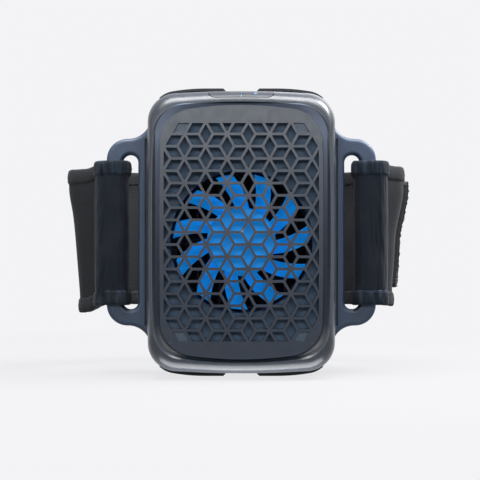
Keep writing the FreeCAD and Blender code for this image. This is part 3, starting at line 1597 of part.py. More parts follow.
def window_edges(inner, outer, start_in, start_out, spin):
    """Edges of one stator window: inner arc, side, outer arc, side."""

    def polar(radius, angle):
        """Point at an angle, turned to the window's quarter."""
        return spin.multVec(Vector(radius * math.cos(angle), radius * math.sin(angle), 0))

    end_in, end_out = math.pi / 2 - start_in, math.pi / 2 - start_out
    middle = math.pi / 4
    return [
        arc(polar(inner, start_in), polar(inner, middle), polar(inner, end_in)),
        Part.LineSegment(polar(inner, end_in), polar(outer, end_out)),
        arc(polar(outer, end_out), polar(outer, middle), polar(outer, start_out)),
        Part.LineSegment(polar(outer, start_out), polar(inner, start_in)),
    ]


def blade_section(sketch, radius, chord):
    """Cambered blade section on a plane across the blade, swept with the radius."""
    hub = dim("hub_radius")
    span = dim("impeller_radius") - hub
    sweep = math.radians(dim("blade_sweep")) * max(radius - hub, 0) / span
    shift = radius * math.tan(sweep)
    front = dim("blade_front_ahead")
    trailing = Vector(dim("blade_height") - front, shift - chord / 2, 0)
    leading = Vector(-front, shift + chord / 2, 0)
    run = (leading - trailing).normalize()
    across = Vector(run.y, -run.x, 0)
    half = dim("blade_thickness") / 2
    middle = (leading + trailing) / 2 + across * dim("blade_camber")
    outer = [p + across * half for p in (trailing, middle, leading)]
    inner = [p - across * half for p in (leading, middle, trailing)]
    add_loop(sketch, [
        arc(*outer),
        Part.LineSegment(outer[2], inner[0]),
        arc(*inner),
        Part.LineSegment(inner[2], outer[0]),
    ])


def make_impeller():
    """Eleven-blade axial impeller with a cup hub that holds the magnet and the shaft."""
    body = fan_body("fan_impeller")
    rear = "dim.hub_front_ahead - dim.hub_height"
    hub = new_sketch(body, "hub_outline", rear)
    add_circle(hub, "hub", "dim.hub_radius")
    hub_pad = pad(body, "hub", hub, "dim.hub_height")
    front_edge = lies_at_ahead(dim("hub_front_ahead"))
    rounded = dress_edges(body, "Fillet", "hub_edge", hub_pad, front_edge, "dim.hub_edge")
    body.Tip = rounded

    half_span = (dim("impeller_radius") - dim("hub_radius")) / 2
    stations = [
        (dim("hub_radius") - dim("hub_wall") / 2, dim("blade_root_chord")),
        (dim("hub_radius") + half_span, dim("blade_middle_chord")),
        (dim("impeller_radius") + dim("hub_wall"), dim("blade_tip_chord")),
    ]
    sketches = []
    for index, (radius, chord) in enumerate(stations):
        sketch = new_sketch(body, f"blade_section_{index}", str(radius), "YZ_Plane")
        blade_section(sketch, radius, chord)
        sketches.append(sketch)
    blade = body.newObject("PartDesign::AdditiveLoft", "blade")
    blade.Profile = sketches[0]
    blade.Sections = sketches[1:]
    blade.Ruled = False
    doc.recompute()
    blades = body.newObject("PartDesign::PolarPattern", "blades")
    blades.Originals = [blade]
    blades.Axis = (origin_feature(body, "Y_Axis"), [""])
    blades.Angle = 360
    blades.Occurrences = int(dim("blade_count"))
    body.Tip = blades

    trim = new_sketch(body, "trim_outline", "0")
    add_circle(trim, "tip", "dim.impeller_radius")
    add_circle(trim, "beyond", "dim.impeller_radius + dim.blade_overrun")
    pocket(body, "tip_trim", trim, "dim.grille_ahead")
    cup = new_sketch(body, "cup_outline", "0")
    add_circle(cup, "cup", "dim.hub_radius - dim.hub_wall")
    pocket(body, "cup", cup, "dim.hub_front_ahead - dim.hub_wall")
    boss = new_sketch(body, "boss_outline", "dim.hub_front_ahead - dim.hub_wall - dim.hub_boss_height")
    add_circle(boss, "boss", "dim.hub_boss_radius")
    add_circle(boss, "bore", "dim.shaft_radius + dim.press_clearance")
    pad(body, "shaft_boss", boss, "dim.hub_boss_height")
    body.setExpression("Placement.Rotation.Angle", "-dim.blade_clock")
    body.Placement = Placement(
        body.Placement.Base, Rotation(Vector(0, 1, 0), -dim("blade_clock"))
    )
    return body


# ---------------------------------------------------------------- cells and main board


def lying_rod(label, radius, length, x, ahead, z):
    """Part::Cylinder along X, centred on x."""
    cylinder = doc.addObject("Part::Cylinder", label)
    cylinder.Label = label
    bind(cylinder, "Radius", radius)
    bind(cylinder, "Height", length)
    cylinder.Placement = Placement(Vector(0, 0, 0), Rotation(Vector(0, 1, 0), 90))
    bind(cylinder, "Placement.Base.x", f"({x}) - ({length}) / 2")
    bind(cylinder, "Placement.Base.y", f"-({ahead})")
    bind(cylinder, "Placement.Base.z", f"dim.lip_reach + ({z})")
    return cylinder


def make_cell(word, z):
    """Lithium cell lying across the housing, its cradle and its two end contacts."""
    cell = lying_rod(f"battery_cell_{word}", "dim.cell_radius", "dim.cell_length", "0",
                     "dim.cell_ahead", z)
    body = new_body(f"cell_cradle_{word}", "0", "dim.cell_ahead", f"dim.lip_reach + ({z})")
    inner = dim("cell_radius") + dim("fit_clearance")
    outer = inner + dim("cradle_wall")
    span = math.radians(dim("cradle_span"))

    def point(radius, angle):
        """Point on the YZ plane; angle zero faces forwards."""
        return Vector(-radius * math.cos(angle), radius * math.sin(angle), 0)

    half = "dim.cell_length / 2 + dim.contact_thickness + dim.cradle_end"
    trough = new_sketch(body, "trough_outline", f"-({half})", "YZ_Plane")
    add_loop(trough, [
        arc(point(outer, -span), point(outer, 0), point(outer, span)),
        Part.LineSegment(point(outer, span), point(inner, span)),
        arc(point(inner, span), point(inner, 0), point(inner, -span)),
        Part.LineSegment(point(inner, -span), point(outer, -span)),
    ])
    pad(body, "trough", trough, f"2 * ({half})")
    for side, station in (("left", f"-({half})"), ("right", f"{half} - dim.cradle_end")):
        wall = new_sketch(body, f"{side}_wall_outline", station, "YZ_Plane")
        add_loop(wall, [
            arc(point(inner, -span), point(inner, 0), point(inner, span)),
            Part.LineSegment(point(inner, span), point(inner, -span)),
        ])
        pad(body, f"{side}_wall", wall, "dim.cradle_end")
    foot_rear = f"{inner + dim('cradle_wall') / 2}"
    feet = new_sketch(body, "foot_outlines", foot_rear)
    for side, x in (("left", -dim("cradle_foot_x")), ("right", dim("cradle_foot_x"))):
        add_rectangle(feet, side, "dim.cradle_foot_width", "dim.cradle_foot_height", x, 0.0)
    shroud_rear = "dim.ledge_ahead - dim.shroud_thickness - dim.cell_ahead"
    pad(body, "feet", feet, f"{shroud_rear} - {foot_rear}")
    place = "dim.cell_length / 2 + dim.contact_thickness / 2"
    ahead = "dim.cell_ahead + dim.contact_radius / 2"
    contacts = [
        lying_rod(f"contact_{word}_{side}", "dim.contact_radius / 2", "dim.contact_thickness",
                  f"{sign}({place})", ahead, z)
        for side, sign in (("left", "-"), ("right", ""))
    ]
    return cell, body, contacts


def make_power_pack():
    """Two cells, their cradles and the four contacts."""
    upper = make_cell("upper", "dim.upper_cell_z")
    lower = make_cell("lower", "-dim.lower_cell_z")
    return [upper[0], upper[1], lower[0], lower[1], group("cell_contacts", upper[2] + lower[2])]


def make_main_board():
    """Main board on its standoffs, its components and the charging port."""
    board = new_body("main_board", "0", "dim.main_board_ahead")
    sketch = new_sketch(board, "board_outline", "0")
    middle = dim("main_board_height") / 2 - dim("main_board_drop")
    add_rectangle(sketch, "board", "dim.main_board_width", "dim.main_board_height", 0.0, middle)
    pad(board, "board", sketch, "dim.board_thickness")
    holes = new_sketch(board, "board_holes", "0")
    for index, side in enumerate((-1, 1)):
        x, z = side * dim("standoff_x"), -dim("standoff_drop")
        add_circle(holes, f"hole_{index}", "dim.board_screw / 2 + dim.fit_clearance", x, z)
    pocket(board, "board_holes_cut", holes, "dim.board_thickness")

    front = "dim.main_board_ahead + dim.board_thickness"
    chips = [
        block("controller_chip", "dim.controller_side", "dim.controller_height",
              "dim.controller_side", front, "dim.controller_x", "dim.controller_z"),
        block("driver_chip", "dim.driver_width", "dim.driver_height", "dim.driver_length",
              front, "dim.driver_x", "dim.driver_z"),
        block("power_inductor", "dim.inductor_side", "dim.inductor_height",
              "dim.inductor_side", front, "dim.inductor_x", "dim.inductor_z"),
        block("fan_socket", "dim.socket_width", "dim.socket_height", "dim.socket_length",
              front, "dim.socket_x", "dim.socket_z"),
    ]
    components = group("board_components", chips)

    port = new_body("charging_port", "0", "0")
    base = new_sketch(port, "port_outline", "-dim.housing_half_height", "XY_Plane")
    height = dim("port_height")
    half = dim("port_width") / 2
    add_loop(base, shifted(stadium(half, height / 2), -port_middle()))
    add_loop(base, shifted(
        stadium(half - dim("port_shell"), height / 2 - dim("port_shell")), -port_middle()
    ))
    inset = "dim.rear_draft + dim.frame_inset"
    base.setExpression("AttachmentOffset.Base.z", f"-dim.housing_half_height + {inset}")
    pad(port, "port_shell_pad", base, "dim.port_length")
    back = new_sketch(port, "port_back_outline", "0", "XY_Plane")
    back.setExpression(
        "AttachmentOffset.Base.z", f"-dim.housing_half_height + {inset} + dim.port_length"
    )
    add_loop(back, shifted(stadium(half, height / 2), -port_middle()))
    pad(port, "port_back", back, "dim.port_shell * 2", reverse=True)
    tongue = new_sketch(port, "tongue_outline", "0", "XY_Plane")
    tongue.setExpression(
        "AttachmentOffset.Base.z", f"-dim.housing_half_height + {inset} + dim.tongue_setback"
    )
    add_rectangle(tongue, "tongue", "dim.tongue_width", "dim.tongue_thickness", 0.0, -port_middle())
    pad(port, "tongue", tongue, "dim.port_length - dim.tongue_setback")
    return [board, components, port]


def stadium(half, radius):
    """Level stadium about the origin."""
    straight = half - radius
    return [
        Part.LineSegment(Vector(-straight, -radius, 0), Vector(straight, -radius, 0)),
        arc(Vector(straight, -radius, 0), Vector(half, 0, 0), Vector(straight, radius, 0)),
        Part.LineSegment(Vector(straight, radius, 0), Vector(-straight, radius, 0)),
        arc(Vector(-straight, radius, 0), Vector(-half, 0, 0), Vector(-straight, -radius, 0)),
    ]


def shifted(edges, y):
    """Edges moved along the sketch's second axis."""
    for edge in edges:
        edge.translate(Vector(0, y, 0))
    return edges


# ---------------------------------------------------------------- strap


def strap_half(flare):
    """Corner points and bend radii of the right half of the band, out to a given reach."""
    fold = dim("fold_radius")
    gap = dim("band_clearance") + dim("binding_thickness") / 2
    front = -dim("lug_rear_ahead") - dim("lug_thickness") - gap
    slot_x = dim("slot_outer") - gap
    outer_x = dim("lug_half_width") + gap
    flare_y = -dim("flare_rear")
    reach = flare - dim("binding_thickness") / 2
    apart = dim("binding_thickness") + dim("layer_gap")
    inner_reach = reach - apart
    slope = -flare_y / (inner_reach - slot_x)
    length = math.hypot(1, slope)
    tail_turn_y = flare_y - apart * length + slope * (outer_x - slot_x)
    tail_side_y = flare_y - apart * length + slope * (reach - slot_x)
    rear = dim("rear_reach") - dim("binding_thickness") / 2
    half = [
        (Vector(slot_x, front, 0), fold),
        (Vector(slot_x, flare_y, 0), 4 * fold),
        (Vector(inner_reach, 0, 0), 4 * fold),
        (Vector(inner_reach, rear, 0), dim("limb_corner")),
    ]
    tail = [
        (Vector(reach, dim("tail_end"), 0), 0),
        (Vector(reach, tail_side_y, 0), 4 * fold),
        (Vector(outer_x, tail_turn_y, 0), 2 * fold),
        (Vector(outer_x, front, 0), fold),
    ]
    return tail + half


def strap_route():
    """Corner points and bend radii of the band's middle line, from tail to tail."""
    mirrored = [(Vector(-p.x, p.y, 0), r) for p, r in strap_half(dim("flare_left"))]
    return strap_half(dim("flare_right")) + mirrored[::-1]


def offset_route(route, shift):
    """Corner points of a line beside the route, with bend radii to match."""
    points = [point for point, _ in route]
    lines = []
    for start, end in zip(points, points[1:]):
        run = (end - start).normalize()
        normal = Vector(-run.y, run.x, 0)
        lines.append((start + normal * shift, end + normal * shift, run))
    result = [(lines[0][0], 0)]
    for index in range(1, len(points) - 1):
        start, _, along = lines[index - 1]
        other, _, across = lines[index]
        turn = along.x * across.y - along.y * across.x
        gap = other - start
        corner = start + along * ((gap.x * across.y - gap.y * across.x) / turn)
        result.append((corner, route[index][1] - shift * math.copysign(1, turn)))
    result.append((lines[-1][1], 0))
    return result


def rounded_path(route):
    """Lines and tangent arcs along a list of corners with bend radii."""
    edges = []
    start = route[0][0]
    for index in range(1, len(route) - 1):
        corner, radius = route[index]
        back = (route[index - 1][0] - corner).normalize()
        ahead = (route[index + 1][0] - corner).normalize()
        half = back.getAngle(ahead) / 2
        inset = radius / math.tan(half)
        first, last = corner + back * inset, corner + ahead * inset
        centre = corner + (back + ahead).normalize() * (radius / math.sin(half))
        middle = centre + (corner - centre).normalize() * radius
        edges.append(Part.LineSegment(start, first).toShape())
        edges.append(Part.Arc(first, middle, last).toShape())
        start = last
    edges.append(Part.LineSegment(start, route[-1][0]).toShape())
    return edges


def ribbon(route, thickness, low, high):
    """Band of a given thickness that follows the route, between two heights."""
    one = offset_route(route, thickness / 2)
    other = offset_route(route, -thickness / 2)
    edges = rounded_path(one)
    edges.append(Part.LineSegment(one[-1][0], other[-1][0]).toShape())
    edges += rounded_path(other)
    edges.append(Part.LineSegment(other[0][0], one[0][0]).toShape())
    wire = Part.Wire(Part.__sortEdges__(edges))
    face = Part.Face(wire)
    face.translate(Vector(0, 0, low))
    return face.extrude(Vector(0, 0, high - low))


def sagging_slab(low, high):
    """Slab whose height falls slowly towards the rear of the strap."""
    front = -dim("lug_rear_ahead") - dim("lug_thickness") - 2 * dim("binding_thickness")
    rear = dim("rear_reach") + dim("binding_thickness")
    sag = dim("strap_sag")
    profile = Part.Wire(Part.makePolygon([
        Vector(0, front, low), Vector(0, rear, low - sag),
        Vector(0, rear, high - sag), Vector(0, front, high), Vector(0, front, low),
    ]))
    width = dim("flare_left") + dim("flare_right") + 4 * dim("binding_thickness")
    face = Part.Face(profile)
    face.translate(Vector(-width / 2, 0, 0))
    return face.extrude(Vector(width, 0, 0))


def strap_piece(label, route, thickness, low, high):
    """One strip of the strap between two heights that sag towards the rear."""
    tall = ribbon(route, thickness, low - 2 * dim("strap_sag"), high + dim("strap_sag"))
    node = doc.addObject("Part::Feature", label)
    node.Label = label
    node.Shape = tall.common(sagging_slab(low, high)).Solids[0]
    node.Placement = Placement(Vector(0, 0, dim("lip_reach") - dim("strap_drop")), Rotation())
    return node


def make_strap():
    """Elastic band, its two edge bindings and the hook pad on the right-hand tail."""
    route = strap_route()
    half = dim("band_width") / 2
    edge = half + dim("binding_width")
    band = strap_piece("strap_band", route, dim("band_thickness"), -half, half)
    upper = strap_piece("strap_binding_upper", route, dim("binding_thickness"), half, edge)
    lower = strap_piece("strap_binding_lower", route, dim("binding_thickness"), -edge, -half)

    start = dim("flare_right")
    length = dim("hook_length")
    box = Part.makeBox(
        dim("hook_thickness"), length / 2, dim("hook_width"),
        Vector(start, dim("tail_end") - length / 2, -dim("hook_width") / 2),
    )
    hook = doc.addObject("Part::Feature", "hook_pad")
    hook.Label = "hook_pad"
    hook.Shape = box
    hook.Placement = Placement(Vector(0, 0, dim("lip_reach") - dim("strap_drop")), Rotation())
    return [band, upper, lower, hook]


# ---------------------------------------------------------------- build, check and write


def check_document():
    """Stop if any object failed to recompute."""
    doc.recompute()
    for item in doc.Objects:
        if "Invalid" in item.State or "Error" in item.State:
            raise RuntimeError(f"{item.Label}: {item.State}")


def write_parts(nodes):
    """Check each sub-part's shape and write it to parts/NODE.step."""
    os.makedirs("parts", exist_ok=True)
    for node in nodes:
        shape = node.Shape
        if shape.isNull() or not shape.isValid() or not shape.Solids:
            raise RuntimeError(f"{node.Label} has no valid shape")
        shape.exportStep(f"parts/{node.Label}.step")
        print(f"{node.Label}: {len(shape.Solids)} solid(s), {shape.Volume / 1000:.2f} cm3")


def main():
    """Make every sub-part, check them and write them."""
    nodes = [make_front_housing(), make_front_grille(), make_strap_frame(), make_rear_cover()]
    nodes += make_keys() + make_control_board()
    nodes += [make_treatment_plate(), make_sensor(), make_gasket(), make_foam(), make_heat_sink()]
    nodes += make_cold_stack()
    nodes += [make_shroud(), make_fan_bracket(), make_impeller()]
    nodes += make_motor() + make_power_pack() + make_main_board() + make_screws() + make_strap()
    check_document()
    write_parts(nodes)


main()
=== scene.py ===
import logging
import math
from abc import ABC, abstractmethod
from collections.abc import Callable, Sequence
from dataclasses import dataclass, field
from enum import Enum

import bmesh
import bpy
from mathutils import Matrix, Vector, noise

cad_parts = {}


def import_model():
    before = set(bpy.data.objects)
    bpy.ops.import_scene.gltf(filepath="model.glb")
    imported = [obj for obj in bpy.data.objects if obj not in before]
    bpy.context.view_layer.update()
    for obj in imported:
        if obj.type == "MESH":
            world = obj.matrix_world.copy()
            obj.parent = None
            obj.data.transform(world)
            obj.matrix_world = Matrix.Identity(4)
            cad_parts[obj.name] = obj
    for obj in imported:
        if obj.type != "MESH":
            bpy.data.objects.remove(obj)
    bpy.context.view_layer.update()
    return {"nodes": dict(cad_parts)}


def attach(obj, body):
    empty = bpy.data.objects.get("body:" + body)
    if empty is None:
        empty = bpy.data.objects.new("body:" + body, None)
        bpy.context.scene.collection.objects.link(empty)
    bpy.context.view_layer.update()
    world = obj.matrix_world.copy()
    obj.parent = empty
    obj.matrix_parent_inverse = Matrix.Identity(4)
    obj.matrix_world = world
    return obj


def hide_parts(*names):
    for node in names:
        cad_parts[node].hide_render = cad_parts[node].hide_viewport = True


logging.basicConfig(level=logging.INFO, format="%(levelname)s %(message)s")
LOG = logging.getLogger("therapy_machine")

MM = 0.001
CENTRE_Z = 0.0566
WAVE_PERIOD = 0.314159  # a wave texture of scale 1 repeats after this length

Colour = tuple[float, float, float]
Point = tuple[float, float, float]
Socket = bpy.types.NodeSocket
Value = Socket | float | Colour


def linear(value: int) -> float:
    """Linear share of one channel of a paint shade, 0 to 255, by the standard screen curve."""
    share = value / 255
    return share / 12.92 if share <= 0.04045 else ((share + 0.055) / 1.055) ** 2.4


def tint(red: int, green: int, blue: int) -> Colour:
    """Linear colour of a paint shade, as a shader socket takes it."""
    return linear(red), linear(green), linear(blue)


def shade(colour: Colour, factor: float) -> Colour:
    """A lighter or darker shade of a colour, kept below white."""
    return tuple(min(0.98, channel * factor) for channel in colour)


def put(name: str, data: bpy.types.ID) -> bpy.types.Object:
    """Put a mesh, a lamp or a camera into the scene, at the origin.

    Args:
        name: its name.
        data: the mesh, lamp or camera.

    Returns:
        The new object.
    """
    made = bpy.data.objects.new(name, data)
    bpy.context.scene.collection.objects.link(made)
    return made


class Body(Enum):
    """Rigid body that a made piece rides on."""

    MACHINE = "machine"


class Side(Enum):
    """Which side of the machine, seen from the front."""

    LEFT = -1
    RIGHT = 1


# ---------------- shader tools


class NodeNet:
    """A node tree, and the short steps that it is drawn with."""

    def __init__(self, tree: bpy.types.NodeTree, output: str) -> None:
        """Empty a tree and give it its output node.

        Args:
            tree: the tree to work in.
            output: type name of the output node.
        """
        tree.nodes.clear()
        self.tree = tree
        self.surface = self.node(output).inputs["Surface"]

    def node(self, kind: str, **inputs: Value) -> bpy.types.Node:
        """Add a node and fill its inputs, which are sockets or plain values.

        Args:
            kind: the node's type name.
            inputs: input names, with underscores for spaces.

        Returns:
            The new node.
        """
        made = self.tree.nodes.new(kind)
        self.fill(made, **inputs)
        return made

    def fill(self, node: bpy.types.Node, **inputs: Value) -> None:
        """Fill some inputs of a node by their names."""
        for name, value in inputs.items():
            self.feed(node.inputs[name.replace("_", " ")], value)

    def feed(self, socket: Socket, value: Value) -> None:
        """Link a socket, or set its value.

        Args:
            socket: the input that is fed.
            value: a socket to link from, or a plain number or colour.
        """
        if isinstance(value, Socket):
            self.tree.links.new(value, socket)
        elif socket.type == "RGBA":
            socket.default_value = (*value, 1.0)
        else:
            socket.default_value = value

    def step(self, kind: str, operation: str, *values: Value) -> bpy.types.Node:
        """One arithmetic step on numbers or on vectors.

        Args:
            kind: type name of the arithmetic node.
            operation: what it does with its inputs.
            values: its inputs, in their order.

        Returns:
            The new node.
        """
        made = self.node(kind)
        made.operation = operation
        for socket, value in zip(made.inputs, values):
            self.feed(socket, value)
        return made

    def plus(self, one: Value, other: Value) -> Socket:
        """Sum of two numbers."""
        return self.step("ShaderNodeMath", "ADD", one, other).outputs[0]

    def times(self, one: Value, other: Value) -> Socket:
        """Product of two numbers."""
        return self.step("ShaderNodeMath", "MULTIPLY", one, other).outputs[0]

    def vector(self, operation: str, *values: Value) -> Socket:
        """Vector that one arithmetic step gives."""
        return self.step("ShaderNodeVectorMath", operation, *values).outputs["Vector"]

    def measure(self, operation: str, *values: Value) -> Socket:
        """Number that one arithmetic step on vectors gives."""
        return self.step("ShaderNodeVectorMath", operation, *values).outputs["Value"]

    def seen_rays(self) -> Socket:
        """1 for the camera's own rays and for those that gloss or clear plastic turns.

        Returns:
            Socket with that number, which is 0 for all other rays.
        """
        path = self.node("ShaderNodeLightPath").outputs
        seen = self.plus(self.plus(path["Is Camera Ray"], path["Is Glossy Ray"]),
                         path["Is Transmission Ray"])
        seen.node.use_clamp = True
        return seen

    def crossfade(self, share: Socket, one: Socket, other: Socket) -> None:
        """Show a mix of two shaders.

        Args:
            share: how much of the second shader shows, 0 to 1.
            one: the first shader.
            other: the second shader.
        """
        mix = self.node("ShaderNodeMixShader", Fac=share)
        self.feed(mix.inputs[1], one)
        self.feed(mix.inputs[2], other)
        self.feed(self.surface, mix.outputs[0])


class ShaderNet(NodeNet):
    """Node tree of one finish, built around a Principled shader."""

    def __init__(self, name: str) -> None:
        """Start an empty material with its shader and output.

        Args:
            name: the material's name.
        """
        self.material = bpy.data.materials.new(name)
        self.material.use_nodes = True
        super().__init__(self.material.node_tree, "ShaderNodeOutputMaterial")
        self.shader = self.node("ShaderNodeBsdfPrincipled")
        self.feed(self.surface, self.shader.outputs[0])
        self.places = self.node("ShaderNodeTexCoord").outputs["Object"]
        self.relief: Socket | None = None

    def look(self, **values: Value) -> None:
        """Fill the shader's own inputs."""
        self.fill(self.shader, **values)

    def along(self, axis: str) -> Socket:
        """Where a place lies along one axis of the machine's frame."""
        return self.node("ShaderNodeSeparateXYZ", Vector=self.places).outputs[axis]

    def attribute(self, name: str) -> Socket:
        """Number that is stored on the piece's own points.

        Args:
            name: the attribute's name.

        Returns:
            Socket with the number.
        """
        made = self.node("ShaderNodeAttribute")
        made.attribute_name = name
        return made.outputs["Fac"]

    def mapped(self, source: Socket | None = None, scale: Point = (1.0, 1.0, 1.0),
               turn: Point = (0.0, 0.0, 0.0)) -> Socket:
        """Places that are turned, and scaled by their own factor along each axis."""
        return self.node("ShaderNodeMapping", Vector=source or self.places, Scale=scale,
                         Rotation=turn).outputs[0]

    def cloud(self, size: float, detail: float = 2.0, rough: float = 0.5,
              source: Socket | None = None) -> Socket:
        """Soft noise whose patches have a real size in metres."""
        return self.node("ShaderNodeTexNoise", Vector=source or self.places, Scale=1.0 / size,
                         Detail=detail, Roughness=rough).outputs["Fac"]

    def waves(self, pitch: float, axis: str, wander: float, detail: float = 2.0,
              source: Socket | None = None) -> Socket:
        """Rounded ridges that follow one another along an axis, a pitch in metres apart.

        Args:
            pitch: distance from one ridge to the next, in metres.
            axis: X, Y or Z.
            wander: how far the ridges stray from straight lines.
            detail: how fine their straying is.
            source: places to read, if not those in the machine's frame.

        Returns:
            Socket with the height, 0 to 1.
        """
        made = self.node("ShaderNodeTexWave", Vector=source or self.places,
                         Scale=WAVE_PERIOD / pitch, Distortion=wander, Detail=detail)
        made.bands_direction = axis
        return made.outputs["Fac"]

    def spread(self, value: Socket, low: float = 0.0, high: float = 1.0, start: float = 0.3,
               end: float = 0.7) -> Socket:
        """A value moved from one range into another, and held inside it."""
        return self.node("ShaderNodeMapRange", Value=value, From_Min=start, From_Max=end,
                         To_Min=low, To_Max=high).outputs["Result"]

    def blend(self, share: Value, one: Value, other: Value) -> Socket:
        """Colour between two others.

        Args:
            share: how much of the second colour shows, 0 to 1.
            one: the first colour.
            other: the second colour.

        Returns:
            Socket with the colour.
        """
        made = self.node("ShaderNodeMix")
        made.data_type = "RGBA"
        for index, value in ((0, share), (6, one), (7, other)):
            self.feed(made.inputs[index], value)
        return made.outputs[2]

    def shades(self, share: Value, colour: Colour, low: float, high: float) -> Socket:
        """Colour between two shades of one colour."""
        return self.blend(share, shade(colour, low), shade(colour, high))

    def emboss(self, height: Socket, depth: float, strength: float = 1.0) -> None:
        """Add relief of a real depth in metres over the relief that is there.

        Args:
            height: height of the relief, 0 to 1.
            depth: how far a height of 1 stands out, in metres.
            strength: how much of the relief is felt, 0 to 1.
        """
        bump = self.node("ShaderNodeBump", Height=height, Distance=depth, Strength=strength)
        if self.relief is not None:
            self.feed(bump.inputs["Normal"], self.relief)
        self.relief = bump.outputs[0]
        self.look(Normal=self.relief)

    def worn_edge(self, radius: float) -> Socket:
        """Mask that is 1 on sharp edges, up to a radius from them.

        Args:
            radius: how far from an edge the mask reaches, in metres.

        Returns:
            Socket with the mask.
        """
        rounded = self.node("ShaderNodeBevel", Radius=radius)
        rounded.samples = 4
        flat = self.node("ShaderNodeNewGeometry").outputs["Normal"]
        agreed = self.measure("DOT_PRODUCT", rounded.outputs[0], flat)
        return self.spread(agreed, 1.0, 0.0, 0.80, 0.99)


# ---------------- finishes


@dataclass(frozen=True)
class Finish(ABC):
    """What the surface of a piece is made of."""

    name: str
    colour: Colour

    def make(self) -> bpy.types.Material:
        """Build the material.

        Returns:
            The new material.
        """
        net = ShaderNet(self.name)
        self.draw(net)
        return net.material

    @abstractmethod
    def draw(self, net: ShaderNet) -> None:
        """Draw the finish into an empty material."""


@dataclass(frozen=True)
class Inlay:
    """Part of a shell with a tone of its own, which may fade by painted light and shade: a rounded
    box, alike in all four quarters.
    """

    colour: Colour
    half_width: float
    half_height: float
    corner: float
    centre_x: float = 0.0
    centre_z: float = 0.0
    behind: float = -1.0
    blur: float = 0.1 * MM
    # foot: painted shade towards the bottom, set against painted light on the upper part
    foot: Colour | None = None

    def tone(self, net: ShaderNet) -> Value:
        """Its colour, which may fade to another one towards the machine's foot: painted light on
        the upper part and painted shade on the lower part.

        Args:
            net: the material's node tree.

        Returns:
            The plain colour, or a socket with the fading one.
        """
        if self.foot is None:
            return self.colour
        # painted light and shade: the tone grows lighter towards the top and darker towards the
        # foot, as light falls into the valley
        rise = net.spread(net.along("Z"), 0.0, 1.0, CENTRE_Z - self.half_height,
                          CENTRE_Z + self.half_height)
        return net.blend(net.times(rise, rise), self.foot, self.colour)

    def mask(self, net: ShaderNet) -> Socket:
        """1 inside the box and behind its front limit, and 0 elsewhere.

        Args:
            net: the material's node tree.

        Returns:
            Socket with the mask.
        """
        folded = net.places
        for centre in ((0.0, 0.0, CENTRE_Z), (self.centre_x, 0.0, self.centre_z)):
            folded = net.vector("ABSOLUTE", net.vector("SUBTRACT", folded, centre))
        core = (self.half_width - self.corner, 0.0, self.half_height - self.corner)
        beyond = net.vector("MAXIMUM", net.vector("SUBTRACT", folded, core), (0.0, 0.0, 0.0))
        distance = net.measure("LENGTH", net.vector("MULTIPLY", beyond, (1.0, 0.0, 1.0)))
        inside = net.spread(distance, 1.0, 0.0, self.corner - self.blur, self.corner + self.blur)
        back = net.spread(net.along("Y"), 0.0, 1.0, self.behind - self.blur,
                          self.behind + self.blur)
        return net.times(inside, back)


@dataclass(frozen=True)
class MouldedPlastic(Finish):
    """Injection-moulded plastic with a fine eroded grain."""

    roughness: float = 0.42
    grain: float = 0.16 * MM
    grain_depth: float = 0.006 * MM
    flow: float = 0.05
    flow_patch: float = 21 * MM
    smear_patch: float = 4 * MM
    edge_polish: float = 0.0
    edge_radius: float = 0.35 * MM
    edge_patch: float = 3 * MM
    edge_shade: float = 2.2
    specular: float = 0.5
    coat: float = 0.0
    # painted glow: emission of the part's own colour, though the part is no lamp
    painted_glow: float = 0.0
    inlay: Inlay | None = None

    def draw(self, net: ShaderNet) -> None:
        """Draw the flow of the melt, the inlay, the polished edges and the grain.

        Args:
            net: the empty material to draw into.
        """
        patches = net.spread(net.cloud(self.flow_patch, 3.0))
        colour = net.shades(patches, self.colour, 1 - self.flow, 1 + self.flow)
        if self.inlay is not None:
            colour = net.blend(self.inlay.mask(net), colour, self.inlay.tone(net))
        if self.edge_polish > 0:
            edge = net.times(net.worn_edge(self.edge_radius),
                             net.spread(net.cloud(self.edge_patch), 0.25, 1.0))
            colour = net.blend(net.times(edge, self.edge_polish), colour,
                               shade(self.colour, self.edge_shade))
        net.emboss(net.cloud(self.grain, rough=0.6), self.grain_depth)
        shine = net.spread(net.cloud(self.smear_patch, 4.0, 0.6), self.roughness - 0.05,
                           self.roughness + 0.06)
        net.look(Base_Color=colour, Roughness=shine, Specular_IOR_Level=self.specular,
                 Coat_Weight=self.coat)
        if self.coat > 0:
            net.look(Coat_Roughness=0.12)
        # painted glow: the plastic gives off light of its own colour without any lamp in it
        if self.painted_glow > 0:
            net.look(Emission_Color=self.colour, Emission_Strength=self.painted_glow)


class Lay(Enum):
    """Direction of the fine lines that machining leaves in a metal."""

    UPRIGHT = (1.0, 1.0, 0.02)
    ALL_WAYS = (1.0, 1.0, 1.0)


@dataclass(frozen=True)
class MachinedMetal(Finish):
    """Bare or plated metal with fine tool lines and a light haze."""

    roughness: float = 0.3
    lay: Lay = Lay.ALL_WAYS
    line: float = 0.18 * MM
    line_depth: float = 0.003 * MM
    haze_patch: float = 9 * MM

    def draw(self, net: ShaderNet) -> None:
        """Draw the tool lines and the haze over them.

        Args:
            net: the empty material to draw into.
        """
        lines = net.cloud(self.line, 3.0, 0.6, net.mapped(scale=self.lay.value))
        haze = net.cloud(self.haze_patch, 4.0, 0.6)
        net.emboss(lines, self.line_depth)
        shine = net.spread(net.times(lines, haze), self.roughness - 0.03,
                           self.roughness + 0.05, 0.1, 0.45)
        colour = net.shades(net.spread(haze), self.colour, 0.94, 1.02)
        net.look(Base_Color=colour, Metallic=1.0, Roughness=shine)


